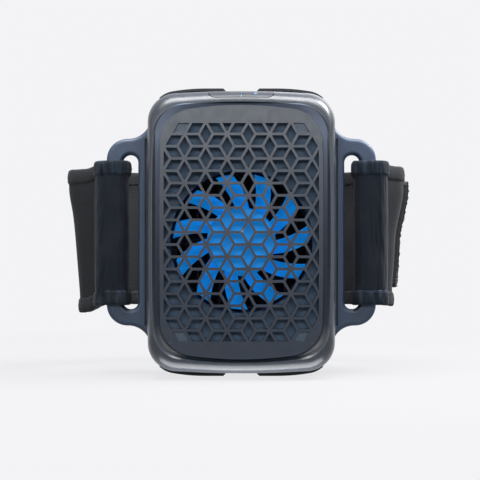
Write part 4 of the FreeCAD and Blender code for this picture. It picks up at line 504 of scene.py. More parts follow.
@dataclass(frozen=True)
class KnitFabric(Finish):
    """Brushed elastic knit: ribs along the strap, a soft pile and a light sheen.

    Its colour is that of the folded parts. It reads the strip's own map and attributes.
    """

    tail_colour: Colour
    pitch: float = 0.9 * MM
    pile: float = 0.35 * MM
    depth: float = 0.09 * MM
    gap_shade: float = 0.62
    lint_patch: float = 11 * MM
    lint_shade: float = 1.7
    limb_painted_shade: float = 0.65
    crease: float = 1.6 * MM
    crease_shade_and_highlight: float = 0.0
    sheen: float = 0.06
    sheen_tint: Colour = (0.62, 0.68, 0.8)

    def draw(self, net: ShaderNet) -> None:
        """Draw the loops, the pile and the creases, in colour and in relief; the creases' colour
        is painted shade and highlight.

        Args:
            net: the empty material to draw into.
        """
        chart = net.node("ShaderNodeUVMap").outputs[0]
        loops = net.times(net.waves(self.pitch, "Y", 0.6, 1.0, chart),
                          net.waves(self.pitch * 0.8, "X", 0.6, 1.0, chart))
        fuzz = net.cloud(self.pile, 3.0, 0.7)
        creases = net.cloud(self.crease, 1.0, 0.5, net.mapped(chart, (1.0, 0.12, 1.0)))
        bunch = net.attribute("bunch")
        colour = self.creased(net, self.yarn(net, loops, fuzz), creases, bunch)
        net.emboss(net.times(creases, bunch), self.crease)
        net.emboss(loops, self.depth, 0.7)
        net.emboss(fuzz, self.depth * 0.6, 0.8)
        net.look(Base_Color=colour, Roughness=net.spread(fuzz, 0.78, 0.95),
                 Sheen_Weight=self.sheen, Sheen_Roughness=0.45, Sheen_Tint=self.sheen_tint,
                 Specular_IOR_Level=0.1)

    def yarn(self, net: ShaderNet, loops: Socket, fuzz: Socket) -> Socket:
        """Colour of the knit, darker between its loops, with lint and painted shade on the stretch
        round the limb.

        Args:
            net: the material's node tree.
            loops: height of the knit's loops, 0 to 1.
            fuzz: height of its pile, 0 to 1.

        Returns:
            Socket with the colour.
        """
        reach = net.attribute("reach")
        base = net.blend(reach, self.colour, self.tail_colour)
        gaps = net.blend(reach, shade(self.colour, self.gap_shade),
                         shade(self.tail_colour, self.gap_shade))
        cover = net.plus(net.spread(loops, 0.0, 0.55, 0.0, 0.8),
                         net.spread(fuzz, 0.0, 0.45, 0.35, 0.65))
        lint = net.spread(net.cloud(self.lint_patch, 4.0, 0.6), 0.0, 0.22, 0.45, 0.75)
        linty = net.blend(lint, net.blend(cover, gaps, base),
                          shade(self.tail_colour, self.lint_shade))
        # painted shade: the stretch round the limb is darkened, as it lies in the machine's shade
        return net.blend(net.attribute("limb"), linty, shade(self.tail_colour, self.limb_painted_shade))

    def creased(self, net: ShaderNet, colour: Socket, creases: Socket, bunch: Socket) -> Socket:
        """Colour with painted shade in the valleys and painted highlight on the ridges where the
        knit is bunched.

        Args:
            net: the material's node tree.
            colour: colour of the smooth knit.
            creases: height of its creases, 0 to 1.
            bunch: how much it is bunched, 0 to 1.

        Returns:
            Socket with the colour.
        """
        # painted shade in the crease valleys and painted highlight on their ridges
        valleys = net.spread(creases, 1.0, 0.0, 0.36, 0.50)
        ridges = net.spread(creases, 0.0, 1.0, 0.52, 0.64)
        for part, strength, factor in ((valleys, 1.0, 0.2), (ridges, 0.8, 3.2)):
            share = net.times(net.times(part, bunch), self.crease_shade_and_highlight * strength)
            colour = net.blend(share, colour, shade(self.colour, factor))
        return colour


@dataclass(frozen=True)
class HookFabric(Finish):
    """Stiff nylon hooks on a woven ground."""

    thread: float = 0.6 * MM
    depth: float = 0.08 * MM

    def draw(self, net: ShaderNet) -> None:
        """Draw the weave.

        Args:
            net: the empty material to draw into.
        """
        weave = net.cloud(self.thread, 3.0, 0.7)
        net.emboss(weave, self.depth)
        colour = net.shades(net.spread(weave), self.colour, 0.5, 1.3)
        net.look(Base_Color=colour, Roughness=net.spread(weave, 0.5, 0.75),
                 Sheen_Weight=0.1, Specular_IOR_Level=0.2)


@dataclass(frozen=True)
class CellFoam(Finish):
    """Closed-cell foam with open skin pores."""

    cell: float = 0.7 * MM
    depth: float = 0.12 * MM

    def draw(self, net: ShaderNet) -> None:
        """Draw the pores.

        Args:
            net: the empty material to draw into.
        """
        pores = net.node("ShaderNodeTexVoronoi", Vector=net.places,
                         Scale=1.0 / self.cell).outputs["Distance"]
        net.emboss(pores, self.depth, 0.8)
        colour = net.shades(net.spread(pores, 0.0, 1.0, 0.05, 0.6), self.colour, 0.6, 1.3)
        net.look(Base_Color=colour, Roughness=net.spread(pores, 0.8, 0.95), Specular_IOR_Level=0.2)


@dataclass(frozen=True)
class SoftSilicone(Finish):
    """Cast silicone with a velvety skin that holds a little dust."""

    speck: float = 1.1 * MM
    skin: float = 0.5 * MM
    skin_depth: float = 0.012 * MM

    def draw(self, net: ShaderNet) -> None:
        """Draw the skin and the dust on it.

        Args:
            net: the empty material to draw into.
        """
        dust = net.spread(net.cloud(self.speck, 5.0, 0.7), 0.0, 0.3, 0.5, 0.8)
        net.emboss(net.cloud(self.skin, 3.0), self.skin_depth)
        net.look(Base_Color=net.shades(dust, self.colour, 1.0, 1.8), Sheen_Weight=0.15,
                 Roughness=net.spread(dust, 0.55, 0.7, 0.0, 0.3))


@dataclass(frozen=True)
class CircuitBoard(Finish):
    """Solder mask over glass weave, with copper tracks in the board's own plane."""

    track: float = 2.2 * MM
    track_depth: float = 0.03 * MM
    glass: float = 0.4 * MM
    glass_depth: float = 0.008 * MM

    def draw(self, net: ShaderNet) -> None:
        """Draw the tracks under the mask and the weave of the glass.

        Args:
            net: the empty material to draw into.
        """
        plane = net.mapped(turn=(math.pi / 2, 0.0, 0.0))
        tracks = net.node("ShaderNodeTexBrick", Vector=plane, Scale=1.0 / self.track,
                          Mortar_Size=0.06, Mortar_Smooth=0.2, Brick_Width=1.4,
                          Row_Height=0.55).outputs["Fac"]
        weave = net.cloud(self.glass)
        net.emboss(tracks, self.track_depth)
        net.emboss(weave, self.glass_depth)
        colour = net.shades(net.times(tracks, 0.6), self.colour, 1.0, 1.9)
        net.look(Base_Color=colour, Roughness=net.spread(weave, 0.25, 0.4),
                 Coat_Weight=0.4, Coat_Roughness=0.1)


@dataclass(frozen=True)
class WoundWire(Finish):
    """Enamelled copper wire wound in close turns."""

    wire: float = 0.4 * MM

    def draw(self, net: ShaderNet) -> None:
        """Draw the turns.

        Args:
            net: the empty material to draw into.
        """
        turns = net.waves(self.wire, "Y", 0.4)
        net.emboss(turns, self.wire * 0.3)
        shine = net.spread(net.cloud(2 * MM), 0.25, 0.4)
        net.look(Base_Color=net.shades(turns, self.colour, 0.35, 1.15), Metallic=0.8,
                 Roughness=shine, Coat_Weight=0.5)


@dataclass(frozen=True)
class LitLens(Finish):
    """Clear diffusing plastic that passes a lamp's light."""

    strength: float

    def draw(self, net: ShaderNet) -> None:
        """Draw the milky body and its light.

        Args:
            net: the empty material to draw into.
        """
        milk = net.cloud(0.3 * MM)
        net.emboss(milk, 0.004 * MM)
        net.look(Base_Color=net.shades(milk, self.colour, 0.85, 1.0),
                 Roughness=net.spread(milk, 0.25, 0.35), Emission_Color=self.colour,
                 Emission_Strength=self.strength)


@dataclass(frozen=True)
class StudioGround(Finish):
    """Pale seamless paper that stays even to the eye and still keeps a soft shadow.

    Its colour is what the camera sees, and the paper is what the lamps light.
    """

    paper: Colour
    lift: float
    shadow_reach: float = 0.32

    def draw(self, net: ShaderNet) -> None:
        """Draw the paper, and lift it to its even colour away from the machine.

        Args:
            net: the empty material to draw into.
        """
        fibre = net.cloud(4 * MM, 4.0)
        net.look(Base_Color=net.shades(fibre, self.paper, 0.985, 1.0), Roughness=0.9,
                 Specular_IOR_Level=0.0)
        even = net.node("ShaderNodeEmission", Color=self.colour, Strength=1.0)
        away = net.spread(net.measure("LENGTH", net.places), self.lift, 1.0,
                          self.shadow_reach * 0.5, self.shadow_reach)
        net.crossfade(net.times(net.seen_rays(), away), net.shader.outputs[0], even.outputs[0])


# the housing's valley inlay has a slate-blue tone, with painted light at its top fading to painted
# shade at its foot
HOUSING_GREY = MouldedPlastic(
    "housing_grey", tint(29, 34, 42), 0.34, edge_polish=0.12, specular=0.40,
    inlay=Inlay(tint(82, 91, 107), 32.9 * MM, 49.2 * MM, 12.0 * MM, foot=tint(22, 28, 37)))
GRILLE_GREY = MouldedPlastic(
    "grille_grey", tint(19, 27, 38), 0.34, edge_polish=0.12, specular=0.38,
    inlay=Inlay(tint(48, 64, 80), 4.3 * MM, 2.5 * MM, 0.4 * MM, centre_x=23.2 * MM,
                centre_z=40.1 * MM, behind=-47.85 * MM))
FRAME_BLUE = MouldedPlastic("frame_blue", tint(33, 46, 64), 0.44, edge_polish=0.15, specular=0.3)
COVER_DARK = MouldedPlastic("cover_dark", tint(19, 22, 29), 0.42, specular=0.2)
KEY_GREY = MouldedPlastic("key_grey", tint(25, 29, 37), 0.40, edge_polish=0.1, specular=0.28)
SHROUD_SLATE = MouldedPlastic("shroud_slate", tint(62, 82, 104), 0.5, specular=0.2)
# the fan's blue plastic carries a painted glow, standing in for light that the grille would shade
# off
FAN_BLUE = MouldedPlastic("fan_blue", tint(22, 140, 230), 0.42, specular=0.2, painted_glow=0.42)
BRACKET_BLACK = MouldedPlastic("bracket_black", tint(20, 21, 23), 0.55, specular=0.1)
EPOXY_BLACK = MouldedPlastic("component_black", tint(33, 33, 35), 0.55, grain=0.1 * MM,
                             specular=0.3)
CERAMIC = MouldedPlastic("ceramic_white", tint(226, 226, 220), 0.55, grain=0.25 * MM)
CELL_WRAP = MouldedPlastic("cell_wrap", tint(62, 118, 160), 0.3, grain=2 * MM,
                           grain_depth=0.03 * MM, coat=0.4)
ALUMINIUM = MachinedMetal("aluminium", (0.80, 0.81, 0.83), 0.34, Lay.UPRIGHT)
SINK_BLACK = MachinedMetal("sink_black", (0.012, 0.012, 0.014), 0.5, Lay.UPRIGHT)
STEEL = MachinedMetal("steel", (0.62, 0.62, 0.63), 0.3)
BRASS = MachinedMetal("brass", (0.76, 0.56, 0.25), 0.3)
COPPER_WIRE = WoundWire("copper", (0.72, 0.32, 0.14))
BOARD_GREEN = CircuitBoard("board_green", tint(18, 74, 48))
SILICONE = SoftSilicone("silicone_grey", tint(96, 99, 104))
FOAM = CellFoam("foam_black", tint(36, 36, 38))
LAMP_WHITE = LitLens("light_guide", (0.025, 0.05, 0.075), 0.0)
LAMP_LED = LitLens("indicator_glow", (0.04, 0.13, 0.30), 0.5)


# ---------------- carried-over parts


@dataclass
class SubAssembly:
    """A group of the machine's own solids, each with the finish it is made in."""

    name: str
    finishes: dict[str, Finish]

    def dress(self, nodes: dict[str, bpy.types.Object]) -> None:
        """Give every solid of the group its finish.

        Args:
            nodes: the machine's solids by name.
        """
        made: dict[str, bpy.types.Material] = {}
        for node, finish in self.finishes.items():
            if finish.name not in made:
                made[finish.name] = finish.make()
            for slot in nodes[node].material_slots:
                slot.material = made[finish.name]
            LOG.info("%s: %s in %s", self.name, node, finish.name)


MACHINE = [
    SubAssembly("shell", {
        "front_housing": HOUSING_GREY, "front_grille": GRILLE_GREY,
        "strap_frame": FRAME_BLUE, "rear_cover": COVER_DARK,
    }),
    SubAssembly("keys", {
        "mode_button": KEY_GREY, "power_button": KEY_GREY, "light_strip": LAMP_WHITE,
        "indicator_lens": LAMP_LED, "control_board": BOARD_GREEN,
        "mode_switch": EPOXY_BLACK, "power_switch": EPOXY_BLACK, "indicator_led": CERAMIC,
    }),
    SubAssembly("cold_stack", {
        "treatment_plate": ALUMINIUM, "temperature_sensor": STEEL,
        "plate_gasket": SILICONE, "insulation_foam": FOAM, "heat_sink": SINK_BLACK,
        "cold_pad": SILICONE, "hot_pad": SILICONE, "peltier_module": CERAMIC,
    }),
    SubAssembly("fan", {
        "fan_shroud": SHROUD_SLATE, "fan_bracket": BRACKET_BLACK,
        "fan_impeller": FAN_BLUE, "fan_bearing": BRASS, "fan_shaft": STEEL,
        "rotor_magnet": EPOXY_BLACK, "stator_core": STEEL, "stator_coils": COPPER_WIRE,
    }),
    SubAssembly("power_pack", {
        "battery_cell_upper": CELL_WRAP, "battery_cell_lower": CELL_WRAP,
        "cell_cradle_upper": BRACKET_BLACK, "cell_cradle_lower": BRACKET_BLACK,
        "cell_contacts": STEEL, "main_board": BOARD_GREEN,
        "board_components": EPOXY_BLACK, "charging_port": STEEL,
    }),
    SubAssembly("fasteners", {
        "shell_screws": STEEL, "clamp_screws": STEEL, "fan_screws": STEEL,
        "board_screws": STEEL,
    }),
]


# ---------------- shape tools


Curve = tuple[tuple[float, float], ...]
Outline = list[tuple[float, float]]
Ring = Sequence[bmesh.types.BMVert]


def smooth(value: float) -> float:
    """Soft step from 0 to 1."""
    held = min(1.0, max(0.0, value))
    return held * held * (3 - 2 * held)


def hump(value: float, width: float) -> float:
    """Soft bump that is 1 at zero and dies away over a width."""
    return math.exp(-(value / width) ** 2)


def uneven(along: float, across: float, seed: float) -> float:
    """Smooth unevenness between -1 and 1, which is the same on each run."""
    return noise.noise(Vector((along, across, seed)))


def curve_at(points: Curve, place: float) -> float:
    """Value of a smooth curve through a few points.

    Args:
        points: place and value of each point, in rising order of place.
        place: where the value is wanted.

    Returns:
        The value, held level beyond the first and the last point.
    """
    last = len(points) - 1
    held = min(max(place, points[0][0]), points[last][0])
    index = max(k for k in range(last) if points[k][0] <= held)
    slopes = []
    for k in (index, index + 1):
        before, after = points[max(k - 1, 0)], points[min(k + 1, last)]
        slopes.append((after[1] - before[1]) / (after[0] - before[0]))
    (start, low), (end, high) = points[index], points[index + 1]
    t = (held - start) / (end - start)
    level = low + (high - low) * t * t * (3 - 2 * t)
    return level + (end - start) * t * (1 - t) * (slopes[0] * (1 - t) - slopes[1] * t)


class MeshSketch:
    """A mesh in the making, with the strip's map on it."""

    def __init__(self) -> None:
        """Start with no points and no faces."""
        self.mesh = bmesh.new()
        self.chart = self.mesh.loops.layers.uv.new("strip")

    def point(self, place: Vector) -> bmesh.types.BMVert:
        """Add one point, in metres."""
        return self.mesh.verts.new(place)

    def skin(self, rings: Sequence[Ring], soft: bool = False) -> list[bmesh.types.BMFace]:
        """Join closed outlines one after another, and close the first and the last.

        Args:
            rings: the outlines, all with the same number of points.
            soft: whether the faces are shaded as one smooth surface.

        Returns:
            The faces between the outlines, without the two end faces.
        """
        faces = []
        for one, other in zip(rings, rings[1:]):
            for k in range(len(one)):
                after = (k + 1) % len(one)
                face = self.mesh.faces.new((one[k], one[after], other[after], other[k]))
                face.smooth = soft
                faces.append(face)
        self.mesh.faces.new(rings[0][::-1])
        self.mesh.faces.new(rings[-1])
        return faces

    def piece(self, name: str) -> bpy.types.Object:
        """Point all faces outwards and put the mesh into the scene.

        Args:
            name: the piece's name.

        Returns:
            The piece, at the origin.
        """
        bmesh.ops.recalc_face_normals(self.mesh, faces=self.mesh.faces)
        data = bpy.data.meshes.new(name)
        self.mesh.to_mesh(data)
        self.mesh.free()
        return put(name, data)


# ---------------- strap


@dataclass(frozen=True)
class Stop:
    """One point of the band's middle line: its place, its outward normal and its run so far."""

    place: Vector
    normal: Vector
    run: float


Ripple = Callable[[Stop, float, float], tuple[float, float]]


@dataclass
class StrapLine:
    """Middle line of the band, from the right-hand tail round the limb to the left-hand one.

    The loose outer parts stand further out above than below, so the line has its own course
    at each height. All the courses have the same number of stops. Lengths are in millimetres.
    """

    slot_x: float = 46.0
    binding_bulge: float = 0.5
    binding_from: float = 20.0
    binding_blend: float = 4.0
    outer_x: float = 57.0
    front: float = -24.3
    flare_y: float = -13.0
    rear: float = 48.7
    fold: float = 2.2
    limb_corner: float = 40.0
    tail_end: float = 16.0
    tail_flare: dict[Side, float] = field(
        default_factory=lambda: {Side.RIGHT: 1.5, Side.LEFT: 0.0})
    layers_apart: float = 3.1
    reach: dict[Side, Curve] = field(default_factory=lambda: {
        Side.RIGHT: ((-28.6, 60.9), (-20.0, 60.6), (-11.0, 61.2), (2.0, 62.1), (17.0, 65.0),
                     (28.6, 65.1)),
        Side.LEFT: ((-28.6, 65.3), (-20.0, 65.2), (-6.0, 66.3), (10.0, 67.8), (20.0, 69.5),
                    (28.6, 69.6)),
    })
    spacing: float = 0.5

    def corners(self, side: Side, height: float) -> list[tuple[Vector, float]]:
        """Corner points and bend radii of one half, from its tail inwards.

        Args:
            side: which half.
            height: height above the band's middle.

        Returns:
            Points with the radius of the bend at each.
        """
        reach = curve_at(self.reach[side], height)
        bound = smooth((abs(height) - self.binding_from) / self.binding_blend)
        slot_x = self.slot_x - self.binding_bulge * bound
        inner = reach - self.layers_apart
        slope = -self.flare_y / (inner - slot_x)
        back = self.flare_y - self.layers_apart * math.hypot(1, slope)
        half = (
            (reach + self.tail_flare[side], self.tail_end, 0.0),
            (reach, back + slope * (reach - slot_x), 3 * self.fold),
            (self.outer_x, back + slope * (self.outer_x - slot_x), 2 * self.fold),
            (self.outer_x, self.front, self.fold),
            (slot_x, self.front, self.fold),
            (slot_x, self.flare_y, 3 * self.fold),
            (inner, 0.0, 4 * self.fold),
            (inner, self.rear, self.limb_corner),
        )
        return [(Vector((x * side.value, y)), radius) for x, y, radius in half]

    def course(self, height: float) -> list[Vector]:
        """Points of the line at one height: its ends and the arcs that round its corners.

        Args:
            height: height above the band's middle.

        Returns:
            Points from the right-hand tail to the left-hand one.
        """
        route = self.corners(Side.RIGHT, height) + self.corners(Side.LEFT, height)[::-1]
        line = [route[0][0]]
        for (before, _), (corner, radius), (after, _) in zip(route, route[1:], route[2:]):
            line += self.bend(before, corner, after, radius)
        line.append(route[-1][0])
        return line

    @staticmethod
    def bend(before: Vector, corner: Vector, after: Vector, radius: float) -> list[Vector]:
        """Points along the arc that rounds one corner, more of them on a wider bend.

        Args:
            before: the route's point before the corner.
            corner: the corner that is rounded.
            after: the route's point after it.
            radius: radius of the arc.

        Returns:
            Points from the start of the arc to its end.
        """
        back, ahead = (before - corner).normalized(), (after - corner).normalized()
        half = back.angle(ahead) / 2
        start, end = (corner + way * (radius / math.tan(half)) for way in (back, ahead))
        centre = corner + (back + ahead).normalized() * (radius / math.sin(half))
        steps = round(6 + 2 * radius)
        one, other = start - centre, end - centre
        sweep = one.angle_signed(other)
        first = math.atan2(one.y, one.x)
        return [centre + Vector((math.cos(first - sweep * k / steps),
                                 math.sin(first - sweep * k / steps))) * radius
                for k in range(steps + 1)]

    def marks(self) -> list[tuple[int, float, float]]:
        """Even steps along the line at mid-height.

        Returns:
            For each step, the point before it, its share of the way to the next point, and
            its run from the tail.
        """
        line = self.course(0.0)
        runs = [0.0]
        for one, other in zip(line, line[1:]):
            runs.append(runs[-1] + (other - one).length)
        count = round(runs[-1] / self.spacing)
        marks, seen = [], 0
        for step in range(count + 1):
            run = runs[-1] * step / count
            while seen < len(runs) - 2 and runs[seen + 1] < run:
                seen += 1
            share = (run - runs[seen]) / max(1e-9, runs[seen + 1] - runs[seen])
            marks.append((seen, share, run))
        return marks

    def stops(self, height: float) -> list[Stop]:
        """Stops of the line at one height, one for each even step of the mid-height line.

        Args:
            height: height above the band's middle.

        Returns:
            Stops from the right-hand tail to the left-hand one.
        """
        line = self.course(height)
        places = [(line[seen].lerp(line[seen + 1], share), run)
                  for seen, share, run in self.marks()]
        stops = []
        for step, (place, run) in enumerate(places):
            ahead = places[min(step + 1, len(places) - 1)][0] - places[max(step - 1, 0)][0]
            ahead.normalize()
            stops.append(Stop(place, Vector((-ahead.y, ahead.x)), run))
        return stops


@dataclass
class Drape:
    """How the band hangs: it sinks towards the rear, and its loose parts slump outwards.

    Lengths are in millimetres. Each turn round the lug has its place across, its width and
    how strongly it bunches the binding.
    """

    drop: float = 0.1
    front_y: float = -27.7
    rear_y: float = 52.6
    sag: float = 3.0
    held_to: float = 55.5
    loosening: float = 4.0
    slump_at: float = 64.0
    slump_to_y: float = 12.0
    slump_fade: float = 30.0
    slump: dict[Side, Curve] = field(default_factory=lambda: {
        Side.RIGHT: ((-28.6, 0.6), (28.6, 0.8)),
        Side.LEFT: ((-28.6, 3.2), (28.6, 2.0)),
    })
    fold_y: float = -13.0
    fold_blend: float = 4.0
    turns: tuple[Point, ...] = ((55.6, 2.4, 1.0), (45.6, 1.8, 0.6))

    def place(self, x: float, y: float, height: float) -> Vector:
        """Where a point of the band ends up, in metres in the machine's frame.

        Args:
            x: place across.
            y: place front to rear.
            height: height above the band's middle.

        Returns:
            The point in metres.
        """
        side = Side.RIGHT if x > 0 else Side.LEFT
        loose = smooth((abs(x) - self.held_to) / (self.slump_at - self.held_to))
        forward = 1.0 - smooth((y - self.slump_to_y) / self.slump_fade)
        fall = self.sag * (y - self.front_y) / (self.rear_y - self.front_y)
        fall += curve_at(self.slump[side], height) * loose * forward
        return Vector((x * MM, y * MM, CENTRE_Z + (height - self.drop - fall) * MM))

    def looseness(self, x: float) -> float:
        """0 where the band is held by the lug, and 1 on its loose outer parts."""
        return smooth((abs(x) - self.held_to) / self.loosening)

    def folded(self, y: float) -> float:
        """1 where the band is folded round the lug, and 0 behind the fold."""
        return smooth((self.fold_y - y) / self.fold_blend)

    def pucker(self, place: Vector) -> float:
        """How much the binding is bunched: most where it turns round the lug."""
        return self.folded(place.y) * max(strength * hump(abs(place.x) - at, width)
                                          for at, width, strength in self.turns)


@dataclass
class Strap:
    """Elastic band with its gathered edge bindings, their stitches and the hook pad.

    Lengths are in millimetres. Each ring of a stitch has its place along the stitch, its rise
    off the binding and its half width.
    """

    line: StrapLine = field(default_factory=StrapLine)
    drape: Drape = field(default_factory=Drape)
    band_half: float = 22.5
    band_tuck: float = 1.4
    band_thick: float = 1.0
    band_puff: float = 0.22
    binding_width: float = 6.1
    binding_thick: float = 1.3
    pucker_depth: float = 2.2
    folded_length: float = 58.0
    limb_blend: float = 8.0
    hook_length: float = 11.0
    hook_half: float = 22.0
    hook_rise: float = 1.2
    hook_pitch: float = 1.15
    pad_corner: float = 1.6
    pad_thick: float = 1.3
    stitch_inset: float = 1.3
    stitch_pitch: float = 3.2
    stitch_length: float = 2.3
    stitch_rings: tuple[Point, ...] = (
        (-0.5, -0.25, 0.12), (-0.25, 0.02, 0.22), (0.25, 0.02, 0.22), (0.5, -0.25, 0.12))

    def build(self) -> list[bpy.types.Object]:
        """Make every piece of the strap, dress it and let it ride on the machine.

        Returns:
            The finished pieces.
        """
        knit = KnitFabric("strap_navy", tint(17, 22, 30), tint(30, 31, 33)).make()
        # the binding tape has painted shade and highlight in its creases
        tape = KnitFabric("binding_charcoal", tint(21, 28, 36), tint(36, 37, 39),
                          pitch=0.6 * MM, crease_shade_and_highlight=0.95).make()
        hooks = HookFabric("hook_charcoal", tint(29, 30, 32)).make()
        band = self.sweep("elastic_band", self.band_section(), self.band_ripple)
        self.finish(band, knit, "strap_navy", "strap_band")
        pieces = [band]
        for name, sign in (("upper", 1.0), ("lower", -1.0)):
            tube = self.sweep(f"edge_binding_{name}", self.binding_section(sign), self.gather)
            self.finish(tube, tape, "binding_charcoal", f"strap_binding_{name}")
            row = self.stitches(f"binding_stitches_{name}", sign)
            self.finish(row, tape, "binding_charcoal")
            pieces += [tube, row]
        pad = self.hook_pad()
        self.finish(pad, hooks, "hook_charcoal", "hook_pad")
        return [*pieces, pad]

    def finish(self, piece: bpy.types.Object, material: bpy.types.Material, slot: str,
               *stands_for: str) -> None:
        """Dress a piece, tie it to the machine and hide the solids that it stands for.

        Args:
            piece: the piece that is finished.
            material: what it is dressed in.
            slot: not used.
            stands_for: solids that it stands for, which are then hidden.
        """
        piece.data.materials.clear()
        piece.data.materials.append(material)
        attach(piece, Body.MACHINE.value)
        if stands_for:
            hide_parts(*stands_for)
        LOG.info("strap: %s, %d faces", piece.name, len(piece.data.polygons))

    def band_section(self, steps: int = 30) -> Outline:
        """Closed outline of the band: offset from its middle line, and height.

        Args:
            steps: how many steps go up each face.

        Returns:
            Offset and height of each point.
        """
        half = self.band_half + self.band_tuck
        rise = [-half + 2 * half * k / steps for k in range(steps + 1)]
        front = [(self.band_thick + self.band_puff * (1 - (h / half) ** 4), h) for h in rise]
        return front + [(-offset, h) for offset, h in reversed(front)]

    def binding_section(self, sign: float, steps: int = 22) -> Outline:
        """Closed, squarish outline of a folded binding that is wrapped round the band's edge.

        Args:
            sign: 1 for the upper binding, and -1 for the lower one.
            steps: how many points the outline has.

        Returns:
            Offset and height of each point.
        """
        half = self.binding_width / 2
        outline = []
        for k in range(steps):
            angle = 2 * math.pi * k / steps
            across, along = math.cos(angle), math.sin(angle)
            offset = math.copysign(abs(across) ** 0.45, across) * (self.binding_thick + 0.15)
            height = math.copysign(abs(along) ** 0.6, along) * half
            outline.append((offset, sign * (self.band_half + half + height)))
        return outline if sign > 0 else outline[::-1]

    def band_ripple(self, stop: Stop, offset: float, height: float) -> tuple[float, float]:
        """Small ripples that run into the band from its gathered edges.

        Args:
            stop: where along the band.
            offset: how far the point stands off the band's middle line.
            height: height above the band's middle.

        Returns:
            The point's offset and height on the rippled band.
        """
        near = smooth((abs(height) - 12.0) / 11.0)
        wave = uneven(stop.run * 0.30, height * 0.03, 3.1)
        broad = uneven(stop.run * 0.05, height * 0.05, 9.7)
        return offset + 0.16 * near * wave + 0.10 * broad, height

    def gather(self, stop: Stop, offset: float, height: float) -> tuple[float, float]:
        """Gathers of the binding: short upright folds, bunched where it turns.

        Args:
            stop: where along the band.
            offset: how far the point stands off the band's middle line.
            height: height above the band's middle.

        Returns:
            The point's offset and height among the gathers.
        """
        side = 1.0 if offset > 0 else -1.0
        sign = 1.0 if height > 0 else -1.0
        loose = self.drape.looseness(stop.place.x)
        bunched = self.drape.pucker(stop.place) if side > 0 else 0.0
        snug = smooth((-10.0 - stop.place.y) / 3.0) if side < 0 else 0.0
        broad = uneven(stop.run * 0.42, side * 2.0, sign * 5.0)
        fine = uneven(stop.run * 1.1, side * 4.0 + height * 0.08, sign * 7.0)
        crease = 0.3 - abs(uneven(stop.run * 0.85, height * 0.10, side * sign))
        deep = 1.0 - 0.17 * abs(abs(height) - self.band_half - self.binding_width / 2)
        swell = 0.30 * loose * deep + (0.30 * broad + 0.16 * fine) * (1.0 - 0.35 * loose)
        swell += self.pucker_depth * bunched * crease
        swell -= snug * max(0.0, swell)
        edge = smooth((abs(height) - self.band_half - 2.0) / 4.0)
        wavy = 0.25 * edge * uneven(stop.run * 0.25, 1.0, sign * 3.0)
        return offset + side * deep * swell, height + sign * wavy

    def beside(self, stop: Stop, offset: float, height: float) -> Vector:
        """Where a point that stands off the band's line ends up, in metres."""
        spot = stop.place + stop.normal * offset
        return self.drape.place(spot.x, spot.y, height)

    def sweep(self, name: str, section: Outline, ripple: Ripple) -> bpy.types.Object:
        """Carry a closed outline along the band's line and close its two ends.

        Args:
            name: the piece's name.
            section: offset and height of each point of the outline.
            ripple: moves a point of the outline a little at each stop.

        Returns:
            The piece, with its map in metres and its attributes.
        """
        strip = MeshSketch()
        columns, chart = [], {}
        for offset, height in section:
            column = []
            for stop in self.line.stops(height):
                point = strip.point(self.beside(stop, *ripple(stop, offset, height)))
                chart[point] = (stop.run * MM, height * MM)
                column.append(point)
            columns.append(column)
        for face in strip.skin(list(zip(*columns)), soft=True):
            for loop in face.loops:
                loop[strip.chart].uv = chart[loop.vert]
        piece = strip.piece(name)
        self.mark_reach(piece.data)
        self.mark_limb_painted_shade(piece.data)
        return piece

    def mark_reach(self, data: bpy.types.Mesh) -> None:
        """Store on each point how loose the band is there, and how bunched.

        Args:
            data: mesh of a piece of the strap, in metres.
        """
        reach = data.attributes.new("reach", "FLOAT", "POINT")
        bunch = data.attributes.new("bunch", "FLOAT", "POINT")
        for vertex, loose, tight in zip(data.vertices, reach.data, bunch.data):
            spot = vertex.co / MM
            loose.value = max(self.drape.looseness(spot.x), smooth((spot.y + 14.0) / 6.0))
            # how bunched also sets where the creases get painted shade and highlight
            tight.value = max(self.drape.pucker(spot), 0.4 * self.drape.folded(spot.y))

    def mark_limb_painted_shade(self, data: bpy.types.Mesh) -> None:
        """Store on each point whether it lies on the stretch that goes round the limb, which gets
        painted shade.

        Args:
            data: mesh of a swept piece, column by column of its stops.
        """
        runs = [stop.run for stop in self.line.stops(0.0)]
        limb = data.attributes.new("limb", "FLOAT", "POINT")
        for index, item in enumerate(limb.data):
            run = runs[index % len(runs)]
            past = min(run, runs[-1] - run) - self.folded_length
            item.value = smooth(past / self.limb_blend)

    def stitches(self, name: str, sign: float) -> bpy.types.Object:
        """Row of lockstitches on both faces of a binding, near its inner edge.

        Args:
            name: the row's name.
            sign: 1 for the upper binding, and -1 for the lower one.

        Returns:
            The row as one piece.
        """
        height = sign * (self.band_half + self.stitch_inset)
        stops = self.line.stops(height)
        seam = MeshSketch()
        for side in (1.0, -1.0):
            for index in range(1, int(stops[-1].run // self.stitch_pitch)):
                self.add_stitch(seam, stops, index * self.stitch_pitch, side, height)
        row = seam.piece(name)
        self.mark_reach(row.data)
        return row

    def add_stitch(self, seam: MeshSketch, stops: list[Stop], middle: float, side: float,
                   height: float) -> None:
        """One stitch: a short rounded bead that sinks into the binding at both ends.

        Args:
            seam: the row that the stitch is added to.
            stops: stops of the line at the seam's height.
            middle: run of the stitch's middle.
            side: 1 on the outer face of the binding, and -1 on the inner one.
            height: height of the seam above the band's middle.
        """
        last = len(stops) - 1
        rings = []
        for along, rise, wide in self.stitch_rings:
            run = middle + along * self.stitch_length
            stop = stops[min(last, max(0, round(run / stops[-1].run * last)))]
            base, _ = self.gather(stop, side * (self.binding_thick + 0.1), height)
            angles = [math.pi * corner / 3 for corner in range(6)]
            rings.append([seam.point(self.beside(
                stop, base + side * (rise + wide * 0.6 * math.cos(angle)),
                height + wide * math.sin(angle))) for angle in angles])
        seam.skin(rings, soft=True)

